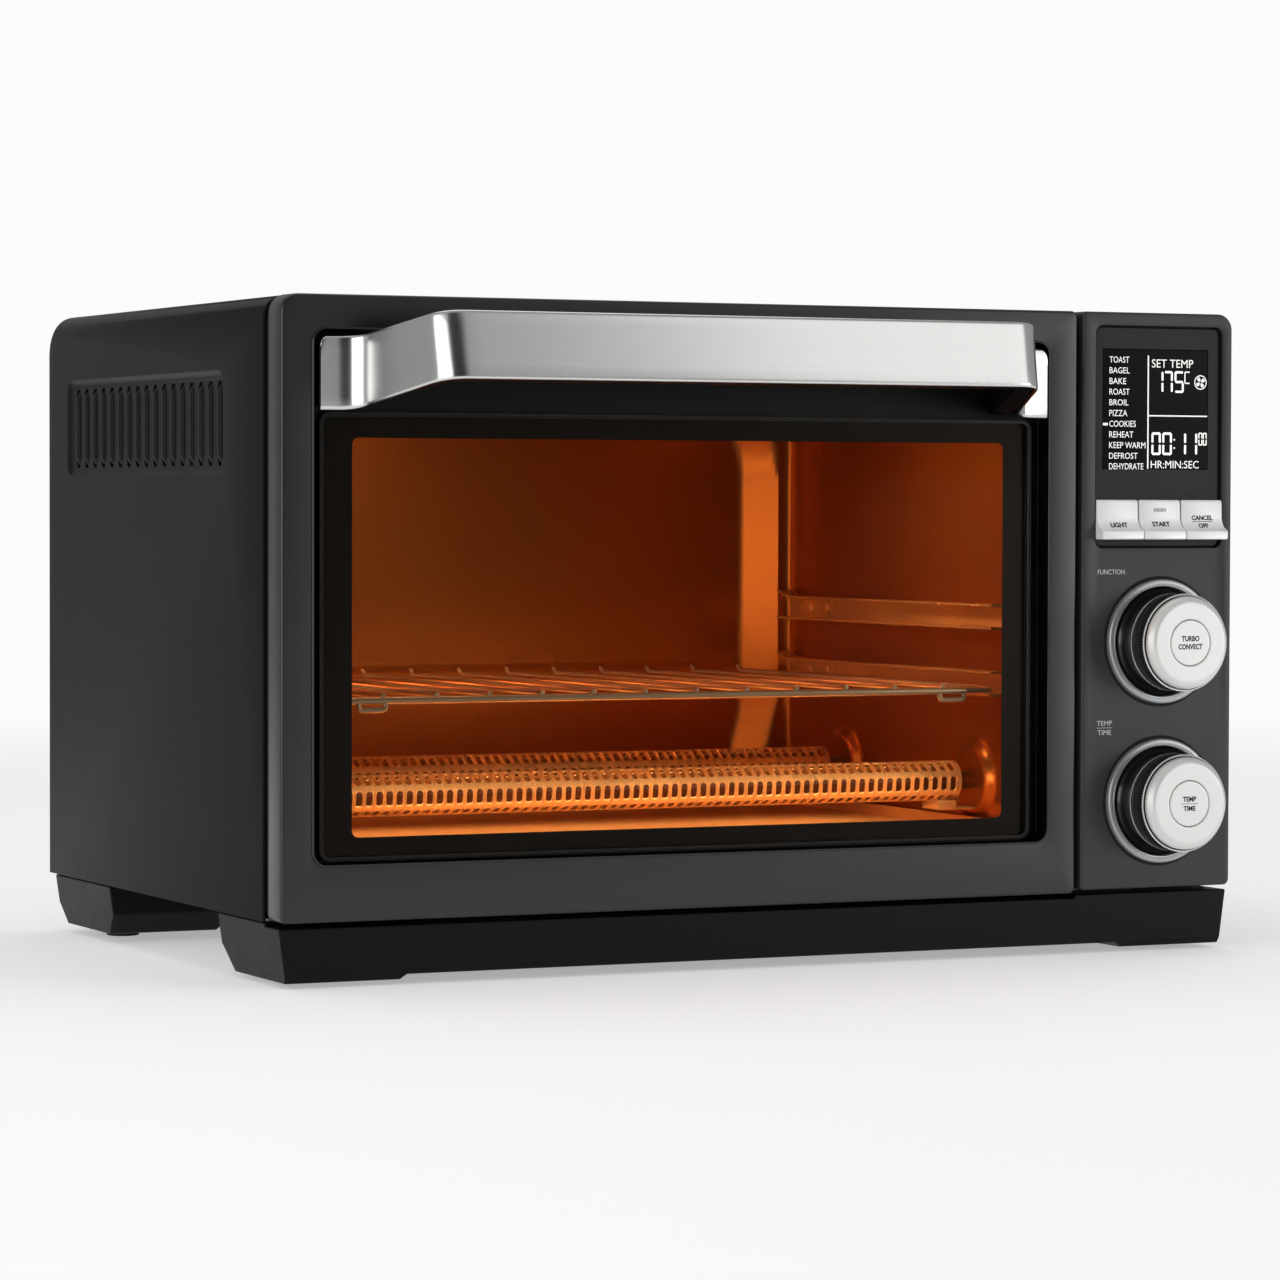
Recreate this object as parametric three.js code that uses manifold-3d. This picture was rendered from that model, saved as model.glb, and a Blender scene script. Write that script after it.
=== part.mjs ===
// A countertop toaster oven with a drop-down glass door and a control column, in millimetres, +Z up.
// Everything is laid out from three datums: X from the left outer face, Y backwards from the front
// plane of the door, and Z from the worktop. The last lines centre the whole object on its origin.
import * as THREE from "three";
import { mergeVertices } from "three/addons/utils/BufferGeometryUtils.js";
import Module from "manifold-3d";

const wasm = await Module();
wasm.setup();

// ---- Driving dimensions -------------------------------------------------------------------------

// Whole object
const WIDTH = 485;
const HEIGHT = 302.5;
const BODY_DEPTH = 318.5;
const HANDLE_REACH = 58.5;
const SPACER_REACH = 10;
const GAP = 0.3; // clearance between pieces that touch
const SHEET = 1.2; // thickness of the outer steel sheets

// Outer wrapper
const WRAP = { front: 22.3, bottom: 28, top: HEIGHT, corner: 10, rearCorner: 9 };
const LOUVRE = { y0: 72, y1: 290, z0: 224, z1: 271, depth: 1.5, count: 17, pitch: 12.36 };
const SLOT = { first: 79.6, width: 4.2, z0: 230, z1: 264 };
const REAR_VENT = { banks: [70, 290], count: 9, pitch: 14, width: 4, z0: 232, z1: 262 };
const FLOOR_VENT = { x: 408, count: 8, pitch: 8, width: 3.5, y0: 120, y1: 200 };
const SPACER = { left: 75, right: 410, halfWidth: 15, z0: 195, z1: 215 };
const GLAND = { x: 430, z: 62, hole: 8, bore: 4.5, flange: 12 };

// Base
const FRONT_BASE = { front: 3, back: 79, backLow: 66, top: 27.7, middle: 4.3, foot: 2 };
const REAR_BASE = { front: 228, frontLow: 237, back: 310, backLow: 301, middle: 8, foot: 4 };
const FOOT_BLOCK = { length: 58, draft: 3.5, ramp: 3 };
const PAD = { x: 22, radius: 8, lift: 2, frontY: 30, rearY: 272 };
const DOOR_SWEEP_Z = 26.2; // the plinth is lowered to this under the door's swinging edge

// Door
const DOOR = { x0: 0, x1: 399.5, z0: 28.5, z1: HEIGHT, depth: 15.5, corner: 3, outerCorner: 8 };
const RECESS = { x0: 15.5, x1: 384, z0: 53.6, z1: 287.4, corner: 6, depth: 10 };
const WINDOW = { x0: 31, x1: 368.5, z0: 60, z1: 245, corner: 4 };
const GLASS = { x0: 20.5, x1: 378.5, z0: 54.6, z1: 251.5, corner: 5, front: 6 };
const SKIN = 1.5;
const INNER_PANEL = { front: 13.2, back: 15.2, inset: 3.5 };
const PIVOT = { y: 6, z: 34.5, pin: 2.2 };
const HINGE = { rib0: 5, rib1: 24, rib: 2.5, bracket0: 9, bracket1: 11, springTurns: 6 };
const BRACKET = { arm: 4, foot: 12, footTop: 14, thick: 1.3 };

// Handle
const HANDLE = {
  plateOuter: 17.7, plateInner: 35, plateY: -0.8, barX: 54.5, sheet: 1.2, core: 12,
  plateBend: 6, barBend: 10, plateZ0: 252, plateZ1: 284, barZ0: 265.2, barZ1: 294.6,
  topSetback: 0.9, coreLow: 0.05, coreHigh: 0.9,
};

// Cavity
const CAVITY = { x0: 23, x1: 377, y0: 20, y1: 250, z0: 56, z1: 284, wall: 1 };
const BULKHEAD = { x0: 1.8, front: 17.6, rimBack: 36 };
const BACK_PAN = { x0: 30, x1: 370, z0: 62, z1: 272, sideLow: 107, sideHigh: 234.6, taper: 12, slope: 15 };
const LOWER_HEATERS = [55, 189];
const UPPER_HEATERS = [80, 190];
const HEATER = { lowerZ: 80, upperZ: 268, tube: 4.5, ceramic: 7.5, capLong: 11, dome: 20, domeDepth: 4 };
const GUARD = { x0: 36, x1: 364, radius: 9.5, wall: 0.8, slots: 12, footWide: 8, footDrop: 5 };
const RAIL = { y0: 24, y1: 246, reach: 10, lowZ: 120.8, highZ: 152.5, tall: 12, wall: 1.2 };
const RACK = { x0: 27, x1: 373, y0: 24, y1: 242, z: 124.1, frame: 1.8, wire: 1.4 };
const RACK_WIRES = { count: 12, pitch: 25.8, upturn: 5 };
const RACK_HOOK = { x: 347, half: 6.5, low: 119.8 };
const TRAY = { x0: 27, x1: 373, y0: 24, y1: 246, z0: 56.4, rim: 6, wall: 0.8, pull: 150 };
const FAN = { x: 95, z: 165, radius: 44, blades: 10, front: 269, back: 279 };
const FAN_MOTOR = { radius: 26, front: 286, back: 312, strapReach: 52 };
const LAMP = { y: 135, z: 262, radius: 14 };
const PROBE = { y: 222, z: 262, radius: 2.5, x0: 330, x1: 386 };
const SHIELD = { x: 398, z0: 32, z1: 292, slots: 6, slotY: 262, slotPitch: 7 };

// Control column
const PANEL = { x0: 402.5, x1: WIDTH, z0: 30, z1: HEIGHT, depth: 22, corner: 7.5, face: 5, wall: 2.5 };
const INSET = { x0: 409.5, x1: 479.5, z0: 191.3, z1: 296.2, corner: 4, depth: 2 };
const LCD = { x0: 414.5, x1: 472.4, z0: 228.7, z1: 285.1 };
const BUTTON = { z0: 195.4, z1: 214, lip: 6.5, travel: 1.5, gap: 0.4 };
const STEM = { inset: 5, z0: 199.5, z1: 209.5, end: 18 };
const KNOB_X = 445.5;
const KNOB_Z = { function: 147, temp: 71.4 };
const KNOB = { bezel: 29.5, bezelIn: 26, skirt: 25.6, grip: 23.1, cap: 21.7, centre: 10.7 };
const KNOB_Y = { front: -27, cap: -22.5, grip: -10.6, skirt: -1, bezel: -3 };
const ENCODER = { shaft: 3.5, bore: 2.3, tip: -17, body: 7, bodyY: 12 };
const BOARD = { x0: 407, x1: 481, y: 24, z0: 40, z1: 296, thick: 1.6 };
const POWER = { x: 402, y0: 120, y1: 290, z0: 60, z1: 220 };

// ---- Shape helpers ------------------------------------------------------------------------------

// A closed three.js geometry as a solid that can be cut and joined.
function solid(geometry) {
  const bare = geometry.clone();
  bare.deleteAttribute("normal");
  bare.deleteAttribute("uv");
  const merged = mergeVertices(bare, 1e-4);
  const vertProperties = merged.attributes.position.array;
  const triVerts = new Uint32Array(merged.index.array);
  return new wasm.Manifold(new wasm.Mesh({ numProp: 3, vertProperties, triVerts }));
}

function union(solids) {
  return solids.reduce((sum, next) => sum.add(next));
}

function cut(body, tools) {
  return tools.length ? body.subtract(union(tools)) : body;
}

function box([x0, y0, z0], [x1, y1, z1]) {
  const block = new THREE.BoxGeometry(x1 - x0, y1 - y0, z1 - z0);
  block.translate((x0 + x1) / 2, (y0 + y1) / 2, (z0 + z1) / 2);
  return solid(block);
}

// Round bars along each axis.
function rodX(x0, x1, y, z, radius, sides = 12) {
  const bar = new THREE.CylinderGeometry(radius, radius, x1 - x0, sides);
  bar.rotateZ(Math.PI / 2).translate((x0 + x1) / 2, y, z);
  return solid(bar);
}

function rodY(y0, y1, x, z, radius, sides = 16) {
  const bar = new THREE.CylinderGeometry(radius, radius, y1 - y0, sides);
  bar.translate(x, (y0 + y1) / 2, z);
  return solid(bar);
}

function rodZ(z0, z1, x, y, radius, sides = 16) {
  const bar = new THREE.CylinderGeometry(radius, radius, z1 - z0, sides);
  bar.rotateX(Math.PI / 2).translate(x, y, (z0 + z1) / 2);
  return solid(bar);
}

// A rectangle with its four corners rounded, given anticlockwise from the low corner.
function roundedRect(u0, v0, u1, v1, radii) {
  const [a, b, c, d] = Array.isArray(radii) ? radii : [radii, radii, radii, radii];
  const shape = new THREE.Shape();
  shape.moveTo(u0 + a, v0);
  shape.absarc(u1 - b, v0 + b, b, -Math.PI / 2, 0);
  shape.absarc(u1 - c, v1 - c, c, 0, Math.PI / 2);
  shape.absarc(u0 + d, v1 - d, d, Math.PI / 2, Math.PI);
  shape.absarc(u0 + a, v0 + a, a, Math.PI, (3 * Math.PI) / 2);
  return shape;
}

function polygon(points) {
  return new THREE.Shape(points.map(([u, v]) => new THREE.Vector2(u, v)));
}

// An outline drawn in X and Z, from yFront back to yBack, with its front edge eased by `edge`.
function plateXZ(outline, yFront, yBack, edge = 0) {
  const eased = {
    bevelEnabled: edge > 0,
    bevelThickness: edge,
    bevelSize: edge,
    bevelOffset: -edge,
    bevelSegments: 1,
  };
  const plate = new THREE.ExtrudeGeometry(outline, {
    depth: yBack - yFront,
    curveSegments: 4,
    ...eased,
  });
  plate.rotateX(Math.PI / 2).translate(0, yBack + edge, 0);
  const whole = solid(plate);
  if (edge === 0) return whole;
  const far = 1000;
  return whole.subtract(box([-far, yBack, -far], [far, far, far]));
}

// An outline drawn in Y and Z, from x0 to x1.
function plateYZ(outline, x0, x1) {
  const plate = new THREE.ExtrudeGeometry(outline, {
    depth: x1 - x0,
    curveSegments: 4,
    bevelEnabled: false,
  });
  plate.rotateX(Math.PI / 2).rotateZ(Math.PI / 2).translate(x0, 0, 0);
  return solid(plate);
}

// An outline drawn in X and Y, from z0 up to z1.
function plateXY(outline, z0, z1) {
  const plate = new THREE.ExtrudeGeometry(outline, {
    depth: z1 - z0,
    curveSegments: 4,
    bevelEnabled: false,
  });
  return solid(plate.translate(0, 0, z0));
}

// A profile's points in the order that turns a lathe's faces outwards.
function lathePoints(profile) {
  let twiceArea = 0;
  profile.forEach(([radius, height], i) => {
    const [nextRadius, nextHeight] = profile[(i + 1) % profile.length];
    twiceArea += radius * nextHeight - nextRadius * height;
  });
  const points = profile.map(([radius, height]) => new THREE.Vector2(radius, height));
  return twiceArea < 0 ? points.reverse() : points;
}

// A turned piece about an axis along Y through (x, z), from [radius, y] points.
function turnedY(profile, x, z, sides = 32) {
  const points = lathePoints(profile);
  return solid(new THREE.LatheGeometry(points, sides).translate(x, 0, z));
}

// A turned piece about an axis along X through (y, z), from [radius, x] points.
function turnedX(profile, y, z, sides = 20) {
  const points = lathePoints(profile);
  const piece = new THREE.LatheGeometry(points, sides);
  return solid(piece.rotateZ(-Math.PI / 2).translate(0, y, z));
}

const oven = new THREE.Group();

function finish(colour, roughness, metalness, extra = {}) {
  return { color: colour, roughness, metalness, ...extra };
}

const FINISH = {
  charcoal: finish(0x3b3b3b, 0.45, 0.3),
  panel: finish(0x424242, 0.45, 0.3),
  plastic: finish(0x1c1c1c, 0.55, 0),
  rubber: finish(0x141414, 0.9, 0),
  galvanised: finish(0x8d9092, 0.45, 0.9),
  liner: finish(0xa08b78, 0.35, 0.9),
  stainless: finish(0xc9cacb, 0.25, 1),
  chrome: finish(0xdadbdc, 0.1, 1),
  silver: finish(0xd8d8d6, 0.35, 0.7),
  gloss: finish(0x0c0c0c, 0.12, 0),
  glass: finish(0x181818, 0.05, 0, { transparent: true, opacity: 0.35 }),
  quartz: finish(0xd9a060, 0.2, 0, { transparent: true, opacity: 0.6 }),
  ceramic: finish(0xe7e0d2, 0.6, 0),
  board: finish(0x1f5a34, 0.6, 0),
};

// Adds a solid to the model as a named piece with its own material.
function addPiece(name, body, look) {
  const { vertProperties, triVerts, numProp } = body.getMesh();
  const geometry = new THREE.BufferGeometry();
  const positions = new Float32Array((vertProperties.length / numProp) * 3);
  for (let i = 0; i < positions.length / 3; i += 1) {
    positions.set(vertProperties.subarray(i * numProp, i * numProp + 3), i * 3);
  }
  geometry.setAttribute("position", new THREE.BufferAttribute(positions, 3));
  geometry.setIndex(new THREE.BufferAttribute(new Uint32Array(triVerts), 1));
  geometry.computeVertexNormals();
  const mesh = new THREE.Mesh(geometry, new THREE.MeshStandardMaterial(FINISH[look]));
  mesh.name = name;
  oven.add(mesh);
}

// A distance in from the door's edge on either side, as an X.
const HINGE_SIDES = {
  left: (x) => x,
  right: (x) => DOOR.x1 - x,
};

// A box between two distances from the door's edge, on the left or mirrored on the right.
function hingeBox(side, [a0, y0, z0], [a1, y1, z1]) {
  const [x0, x1] = [HINGE_SIDES[side](a0), HINGE_SIDES[side](a1)].sort((p, q) => p - q);
  return box([x0, y0, z0], [x1, y1, z1]);
}

// ---- Housing ------------------------------------------------------------------------------------

// The space inside the wrapper's bent sheet, or the sheet's outside when inset is 0.
function wrapperForm(inset) {
  const x1 = WIDTH - inset;
  const top = WRAP.top - inset;
  const round = WRAP.corner - inset;
  const across = roundedRect(inset, WRAP.bottom - inset, x1, top, [0.01, 0.01, round, round]);
  const rear = BODY_DEPTH - inset;
  const rearRound = WRAP.rearCorner - inset;
  const front = WRAP.front - inset;
  const along = roundedRect(front, 0, rear, top, [0.01, 0.01, rearRound, 0.01]);
  return plateXZ(across, front, rear).intersect(plateYZ(along, 0, WIDTH));
}

// One side's stamped louvre field: the shallow pressing and the slots cut through it.
function louvreField(outerX, inward) {
  const depth = LOUVRE.depth;
  const side = (a, b) => [outerX + inward * a, outerX + inward * b].sort((p, q) => p - q);
  const field = roundedRect(LOUVRE.y0, LOUVRE.z0, LOUVRE.y1, LOUVRE.z1, 5);
  const pressing = plateYZ(field, ...side(-1, depth));
  const backing = plateYZ(
    roundedRect(LOUVRE.y0 - 1, LOUVRE.z0 - 1, LOUVRE.y1 + 1, LOUVRE.z1 + 1, 6),
    ...side(SHEET / 2, depth + SHEET),
  );
  const slots = [];
  for (let i = 0; i < LOUVRE.count; i += 1) {
    const y = SLOT.first + i * LOUVRE.pitch - SLOT.width / 2;
    const [x0, x1] = side(-1, depth + SHEET + 1);
    slots.push(box([x0, y, SLOT.z0], [x1, y + SLOT.width, SLOT.z1]));
  }
  return { pressing, backing, slots };
}

function outerWrapper() {
  const rearOpening = box(
    [SHEET, BODY_DEPTH - WRAP.rearCorner, 0],
    [WIDTH - SHEET, BODY_DEPTH + 1, WRAP.top - WRAP.rearCorner],
  );
  const shell = cut(wrapperForm(0), [wrapperForm(SHEET), rearOpening]);
  const left = louvreField(0, 1);
  const right = louvreField(WIDTH, -1);
  const pressed = shell.add(left.backing).add(right.backing);
  return cut(pressed, [left.pressing, right.pressing, ...left.slots, ...right.slots]);
}

function rearPanel() {
  const inset = SHEET + GAP;
  const back = BODY_DEPTH - 0.4;
  const top = WRAP.top - WRAP.rearCorner - GAP;
  const sheet = plateXZ(
    roundedRect(inset, WRAP.bottom + 0.5, WIDTH - inset, top, 2),
    back - SHEET,
    back,
  );
  const { banks, count, pitch, width, z0, z1 } = REAR_VENT;
  const slots = [];
  for (const firstX of banks) {
    for (let i = 0; i < count; i += 1) {
      const x = firstX + i * pitch;
      slots.push(box([x, back - 5, z0], [x + width, back + 5, z1]));
    }
  }
  const glandHole = rodY(back - 5, back + 5, GLAND.x, GLAND.z, GLAND.hole, 24);
  return cut(sheet, [...slots, glandHole]);
}

function bottomPlate() {
  const inset = SHEET + GAP;
  const z0 = WRAP.bottom + 0.2;
  const rear = BODY_DEPTH - SHEET - 1;
  const outline = roundedRect(inset, WRAP.front + GAP, WIDTH - inset, rear, 1);
  const vents = [];
  for (let i = 0; i < FLOOR_VENT.count; i += 1) {
    const x = FLOOR_VENT.x + i * FLOOR_VENT.pitch;
    vents.push(box([x, FLOOR_VENT.y0, 0], [x + FLOOR_VENT.width, FLOOR_VENT.y1, 40]));
  }
  return cut(plateXY(outline, z0, z0 + SHEET), vents);
}

// The outline of a base moulding seen from the front: drafted ends, with a foot block at each.
function baseFront(top, middle, foot) {
  const { length, draft, ramp } = FOOT_BLOCK;
  return polygon([
    [0, top],
    [draft, foot],
    [length, foot],
    [length + ramp, middle],
    [WIDTH - length - ramp, middle],
    [WIDTH - length, foot],
    [WIDTH - draft, foot],
    [WIDTH, top],
  ]);
}

function baseMoulding(frontView, sideView, yFront, yBack) {
  return plateXZ(frontView, yFront, yBack).intersect(plateYZ(sideView, 0, WIDTH));
}

function padPockets(y, bottom) {
  const top = bottom + PAD.lift;
  return [PAD.x, WIDTH - PAD.x].map((x) => rodZ(-1, top, x, y, PAD.radius + GAP, 24));
}

function frontPlinth() {
  const b = FRONT_BASE;
  const side = polygon([
    [b.front + 1.5, b.foot],
    [b.backLow, b.foot],
    [b.back, 14],
    [b.back, b.top],
    [b.front, b.top],
    [b.front, b.foot + 3],
  ]);
  const outline = baseFront(b.top, b.middle, b.foot);
  const block = baseMoulding(outline, side, b.front, b.back);
  const wall = 3;
  const hollow = box([8, b.front + 22, 9], [WIDTH - 8, b.back - wall, b.top + 1]);
  const doorRelief = box([-1, -1, DOOR_SWEEP_Z], [PANEL.x0 - 1, WRAP.front - 2, b.top + 1]);
  return cut(block, [hollow, doorRelief, ...padPockets(PAD.frontY, b.foot)]);
}

function rearPlinth() {
  const b = REAR_BASE;
  const top = FRONT_BASE.top;
  const side = polygon([
    [b.frontLow, b.foot],
    [b.backLow, b.foot],
    [b.back, 14],
    [b.back, top],
    [b.front, top],
    [b.front, 14],
  ]);
  const block = baseMoulding(baseFront(top, b.middle, b.foot), side, b.front, b.back);
  const hollow = box([8, b.front + 5, 12], [WIDTH - 8, b.back - 5, top + 1]);
  return cut(block, [hollow, ...padPockets(PAD.rearY, b.foot)]);
}

function addHousing() {
  addPiece("outer_wrapper", outerWrapper(), "charcoal");
  addPiece("rear_panel", rearPanel(), "galvanised");
  addPiece("bottom_plate", bottomPlate(), "galvanised");
  addPiece("front_plinth", frontPlinth(), "plastic");
  addPiece("rear_plinth", rearPlinth(), "plastic");
  const rows = { front: [PAD.frontY, FRONT_BASE.foot], rear: [PAD.rearY, REAR_BASE.foot] };
  const columns = { left: PAD.x, right: WIDTH - PAD.x };
  for (const [row, [y, bottom]] of Object.entries(rows)) {
    for (const [column, x] of Object.entries(columns)) {
      const pad = rodZ(0, bottom + PAD.lift - GAP, x, y, PAD.radius, 24);
      addPiece(`foot_pad_${row}_${column}`, pad, "rubber");
    }
  }
  const seat = BODY_DEPTH - 0.1;
  for (const column of ["left", "right"]) {
    const [x0, x1] = [SPACER[column] - SPACER.halfWidth, SPACER[column] + SPACER.halfWidth];
    const outline = roundedRect(x0, SPACER.z0, x1, SPACER.z1, 4);
    const spacer = plateXZ(outline, seat, BODY_DEPTH + SPACER_REACH);
    addPiece(`rear_spacer_${column}`, spacer, "plastic");
  }
  addPiece("cord_gland", cordGland(seat), "plastic");
}

// The bush that holds the supply cord where it leaves the rear panel.
function cordGland(seat) {
  const { bore, hole, flange } = GLAND;
  const profile = [
    [bore, seat - 6],
    [hole - 0.4, seat - 6],
    [hole - 0.4, seat],
    [flange, seat],
    [flange, seat + 2.6],
    [hole, seat + 3.6],
    [hole - 1, seat + 9.1],
    [bore, seat + 9.1],
    [bore, seat - 6],
  ];
  return turnedY(profile, GLAND.x, GLAND.z, 24);
}

// ---- Oven cavity --------------------------------------------------------------------------------

// The cavity's inner space with its stamped features, grown outwards by `grow` for the outside.
function cavityForm(grow) {
  const c = CAVITY;
  const front = c.y0 - (grow ? 0 : 1);
  const room = box([c.x0 - grow, front, c.z0 - grow], [c.x1 + grow, c.y1 + grow, c.z1 + grow]);
  const domes = [];
  for (const y of LOWER_HEATERS) {
    domes.push(heaterDome(y, c.x1, 1, grow), heaterDome(y, c.x0, -1, grow));
  }
  return cut(room.add(backPan(grow)), domes);
}

// A round boss pressed in from a side wall, around the end of a lower heater.
function heaterDome(y, wallX, outward, grow) {
  const slope = 5;
  const rim = HEATER.dome - grow;
  const faceX = wallX + outward * grow;
  const crownX = faceX - outward * HEATER.domeDepth;
  const profile = [
    [0, crownX],
    [rim - slope, crownX],
    [rim, faceX],
    [rim, faceX + outward],
    [0, faceX + outward],
  ];
  return turnedX(profile, y, HEATER.lowerZ, 16);
}

// The rear wall's pressing: an eight-sided pan with sloping sides.
function backPan(grow) {
  const b = BACK_PAN;
  const [x0, x1] = [b.x0 - grow, b.x1 + grow];
  const [z0, z1] = [b.z0 - grow, b.z1 + grow];
  const octagon = polygon([
    [x0 + b.taper, z0],
    [x1 - b.taper, z0],
    [x1, b.sideLow],
    [x1, b.sideHigh],
    [x1 - b.taper, z1],
    [x0 + b.taper, z1],
    [x0, b.sideHigh],
    [x0, b.sideLow],
  ]);
  const thick = 2;
  const pan = new THREE.ExtrudeGeometry(octagon, {
    depth: thick,
    bevelThickness: b.slope,
    bevelSize: b.slope,
    bevelOffset: -b.slope,
    bevelSegments: 1,
  });
  const wallY = CAVITY.y1 + grow;
  pan.rotateX(Math.PI / 2).translate(0, wallY, 0);
  const far = 1000;
  return solid(pan).subtract(box([-far, -far, -far], [far, wallY - thick, far]));
}

// Openings that the cavity walls need for the heaters, the fan, the lamp and the probe.
function linerHoles() {
  const c = CAVITY;
  const wallDepth = HEATER.domeDepth + 2;
  const heaterHole = HEATER.tube + GAP;
  const leftWall = [c.x0 - 2, c.x0 + wallDepth];
  const rightWall = [c.x1 - wallDepth, c.x1 + 2];
  const holes = [];
  for (const [x0, x1] of [leftWall, rightWall]) {
    for (const y of LOWER_HEATERS) holes.push(rodX(x0, x1, y, HEATER.lowerZ, heaterHole));
    for (const y of UPPER_HEATERS) holes.push(rodX(x0, x1, y, HEATER.upperZ, heaterHole));
  }
  const panY = c.y1 + BACK_PAN.slope;
  const ringStep = 16;
  const ventRadius = 4;
  for (const ring of [1, 2]) {
    const count = ring * 6;
    for (let i = 0; i < count; i += 1) {
      const turn = (i / count) * 2 * Math.PI;
      const x = FAN.x + ring * ringStep * Math.cos(turn);
      const z = FAN.z + ring * ringStep * Math.sin(turn);
      holes.push(rodY(panY - 2, panY + 2, x, z, ventRadius, 6));
    }
  }
  holes.push(rodX(c.x1 - 2, c.x1 + 3, LAMP.y, LAMP.z, LAMP.radius - 2 + GAP, 24));
  holes.push(rodX(c.x1 - 2, c.x1 + 3, PROBE.y, PROBE.z, PROBE.radius + GAP, 12));
  return holes;
}

function cavityLiner() {
  return cut(cavityForm(CAVITY.wall), [cavityForm(0), ...linerHoles()]);
}

// The painted steel front that frames the cavity's mouth behind the door.
function frontBulkhead() {
  const { x0, front, rimBack } = BULKHEAD;
  const x1 = PANEL.x0 - 1;
  const [z0, z1] = [WRAP.bottom + 2, WRAP.top - SHEET - GAP];
  const corners = [3, 3, 3, WRAP.corner];
  const outline = roundedRect(x0, z0, x1, z1, corners);
  const inside = roundedRect(x0 + SHEET, z0 + SHEET, x1 - SHEET, z1 - SHEET, corners);
  const face = plateXZ(outline, front, front + SHEET);
  const rim = plateXZ(outline, front + SHEET / 2, rimBack);
  const rimInside = plateXZ(inside, front, rimBack + 1);
  const clear = CAVITY.wall + GAP;
  const mouth = box(
    [CAVITY.x0 - clear, 0, CAVITY.z0 - clear],
    [CAVITY.x1 + clear, 60, CAVITY.z1 + clear],
  );
  const reach = BRACKET.arm + GAP;
  const slots = Object.keys(HINGE_SIDES).map((side) =>
    hingeBox(
      side,
      [HINGE.bracket0 - GAP, front - 1, PIVOT.z - reach],
      [HINGE.bracket1 + GAP, front + SHEET + 3, PIVOT.z + reach],
    ),
  );
  return cut(face.add(rim.subtract(rimInside)), [mouth, ...slots]);
}

// A C-section rack rail along the side wall at `wallX`, opening towards the cavity.
function rackGuide(wallX, inward, z0) {
  const { y0, y1, reach, tall, wall } = RAIL;
  const webX = wallX + inward * GAP;
  const tipX = wallX + inward * reach;
  const [lo, hi] = [Math.min(webX, tipX), Math.max(webX, tipX)];
  const outer = box([lo, y0, z0], [hi, y1, z0 + tall]);
  const openX = inward > 0 ? [lo + wall, hi + 1] : [lo - 1, hi - wall];
  const channel = box([openX[0], y0 - 1, z0 + wall], [openX[1], y1 + 1, z0 + tall - wall]);
  return cut(outer, [channel]);
}

// A quartz tube from wall to wall with a ceramic cap on each end, outside the cavity.
function heater(y, z) {
  const { tube, ceramic, capLong } = HEATER;
  const out = CAVITY.wall + GAP;
  const [left, right] = [CAVITY.x0 - out, CAVITY.x1 + out];
  return turnedX(
    [
      [0, left - capLong],
      [ceramic, left - capLong],
      [ceramic, left],
      [tube, left],
      [tube, right],
      [ceramic, right],
      [ceramic, right + capLong],
      [0, right + capLong],
    ],
    y,
    z,
    16,
  );
}

// A slotted tube around a lower heater, held off the side walls by a folded foot at each end.
function heaterGuard(y) {
  const { x0, x1, radius, wall, slots, footWide, footDrop } = GUARD;
  const z = HEATER.lowerZ;
  const parts = [rodX(x0, x1, y, z, radius)];
  const footTop = z - radius + wall;
  const footLow = footTop - footDrop;
  for (const side of ["left", "right"]) {
    const place = (a) => (side === "left" ? x0 + a : x1 - a);
    const clear = HEATER.domeDepth + GAP;
    const wallX = side === "left" ? CAVITY.x0 + clear : CAVITY.x1 - clear;
    const [near, far] = [place(2), place(12)].sort((p, q) => p - q);
    const [armFrom, armTo] = [place(4), wallX].sort((p, q) => p - q);
    parts.push(box([near, y - footWide, footLow], [far, y + footWide, footTop]));
    parts.push(box([armFrom, y - footWide, footLow], [armTo, y + footWide, footLow + SHEET]));
  }
  const tools = [rodX(CAVITY.x0, CAVITY.x1, y, z, radius - wall)];
  const pitch = (x1 - x0) / slots;
  for (let i = 0; i < slots; i += 1) {
    const x = x0 + (i + 0.5) * pitch;
    tools.push(box([x - 4, y - 2, z], [x + 4, y + 2, z + 20]));
  }
  return cut(union(parts), tools);
}

function ovenLamp() {
  const x = CAVITY.x1;
  const { radius } = LAMP;
  const lens = [
    [0, x - 9],
    [radius * 0.45, x - 8],
    [radius * 0.8, x - 5],
    [radius, x - 1.5],
    [radius, x - GAP],
    [radius - 2, x - GAP],
    [radius - 2, x + 2],
    [0, x + 2],
  ];
  return turnedX(lens, LAMP.y, LAMP.z, 24);
}

function lampHolder() {
  const x = CAVITY.x1 + CAVITY.wall;
  const cup = [
    [0, x + 1 + GAP],
    [LAMP.radius, x + 1 + GAP],
    [LAMP.radius, x + 6],
    [8, x + 12],
    [0, x + 12],
  ];
  return turnedX(cup, LAMP.y, LAMP.z, 24);
}

// A backplate with straight radial blades on a bored hub, spinning about Y behind the rear wall.
function fanImpeller() {
  const { x, z, radius, blades, front, back } = FAN;
  const parts = [rodY(back - SHEET, back, x, z, radius, 32), rodY(front, back, x, z, 7, 16)];
  for (let i = 0; i < blades; i += 1) {
    const blade = new THREE.BoxGeometry(14, back - front, 1.2);
    blade.translate(radius - 8, (front + back) / 2, 0);
    blade.rotateY((i / blades) * 2 * Math.PI).translate(x, 0, z);
    parts.push(solid(blade));
  }
  return cut(union(parts), [rodY(back - 6, back + 1, x, z, 2.5, 12)]);
}

function fanMotor() {
  const { x, z } = FAN;
  const { radius, front, back, strapReach } = FAN_MOTOR;
  return union([
    rodY(front, back, x, z, radius, 24),
    rodY(front - 4, front + 1, x, z, 8, 16),
    rodY(FAN.back - 4, front, x, z, 2, 12),
    box([x - strapReach, front + 2, z - 6], [x + strapReach, front + 3.5, z + 6]),
  ]);
}

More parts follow.
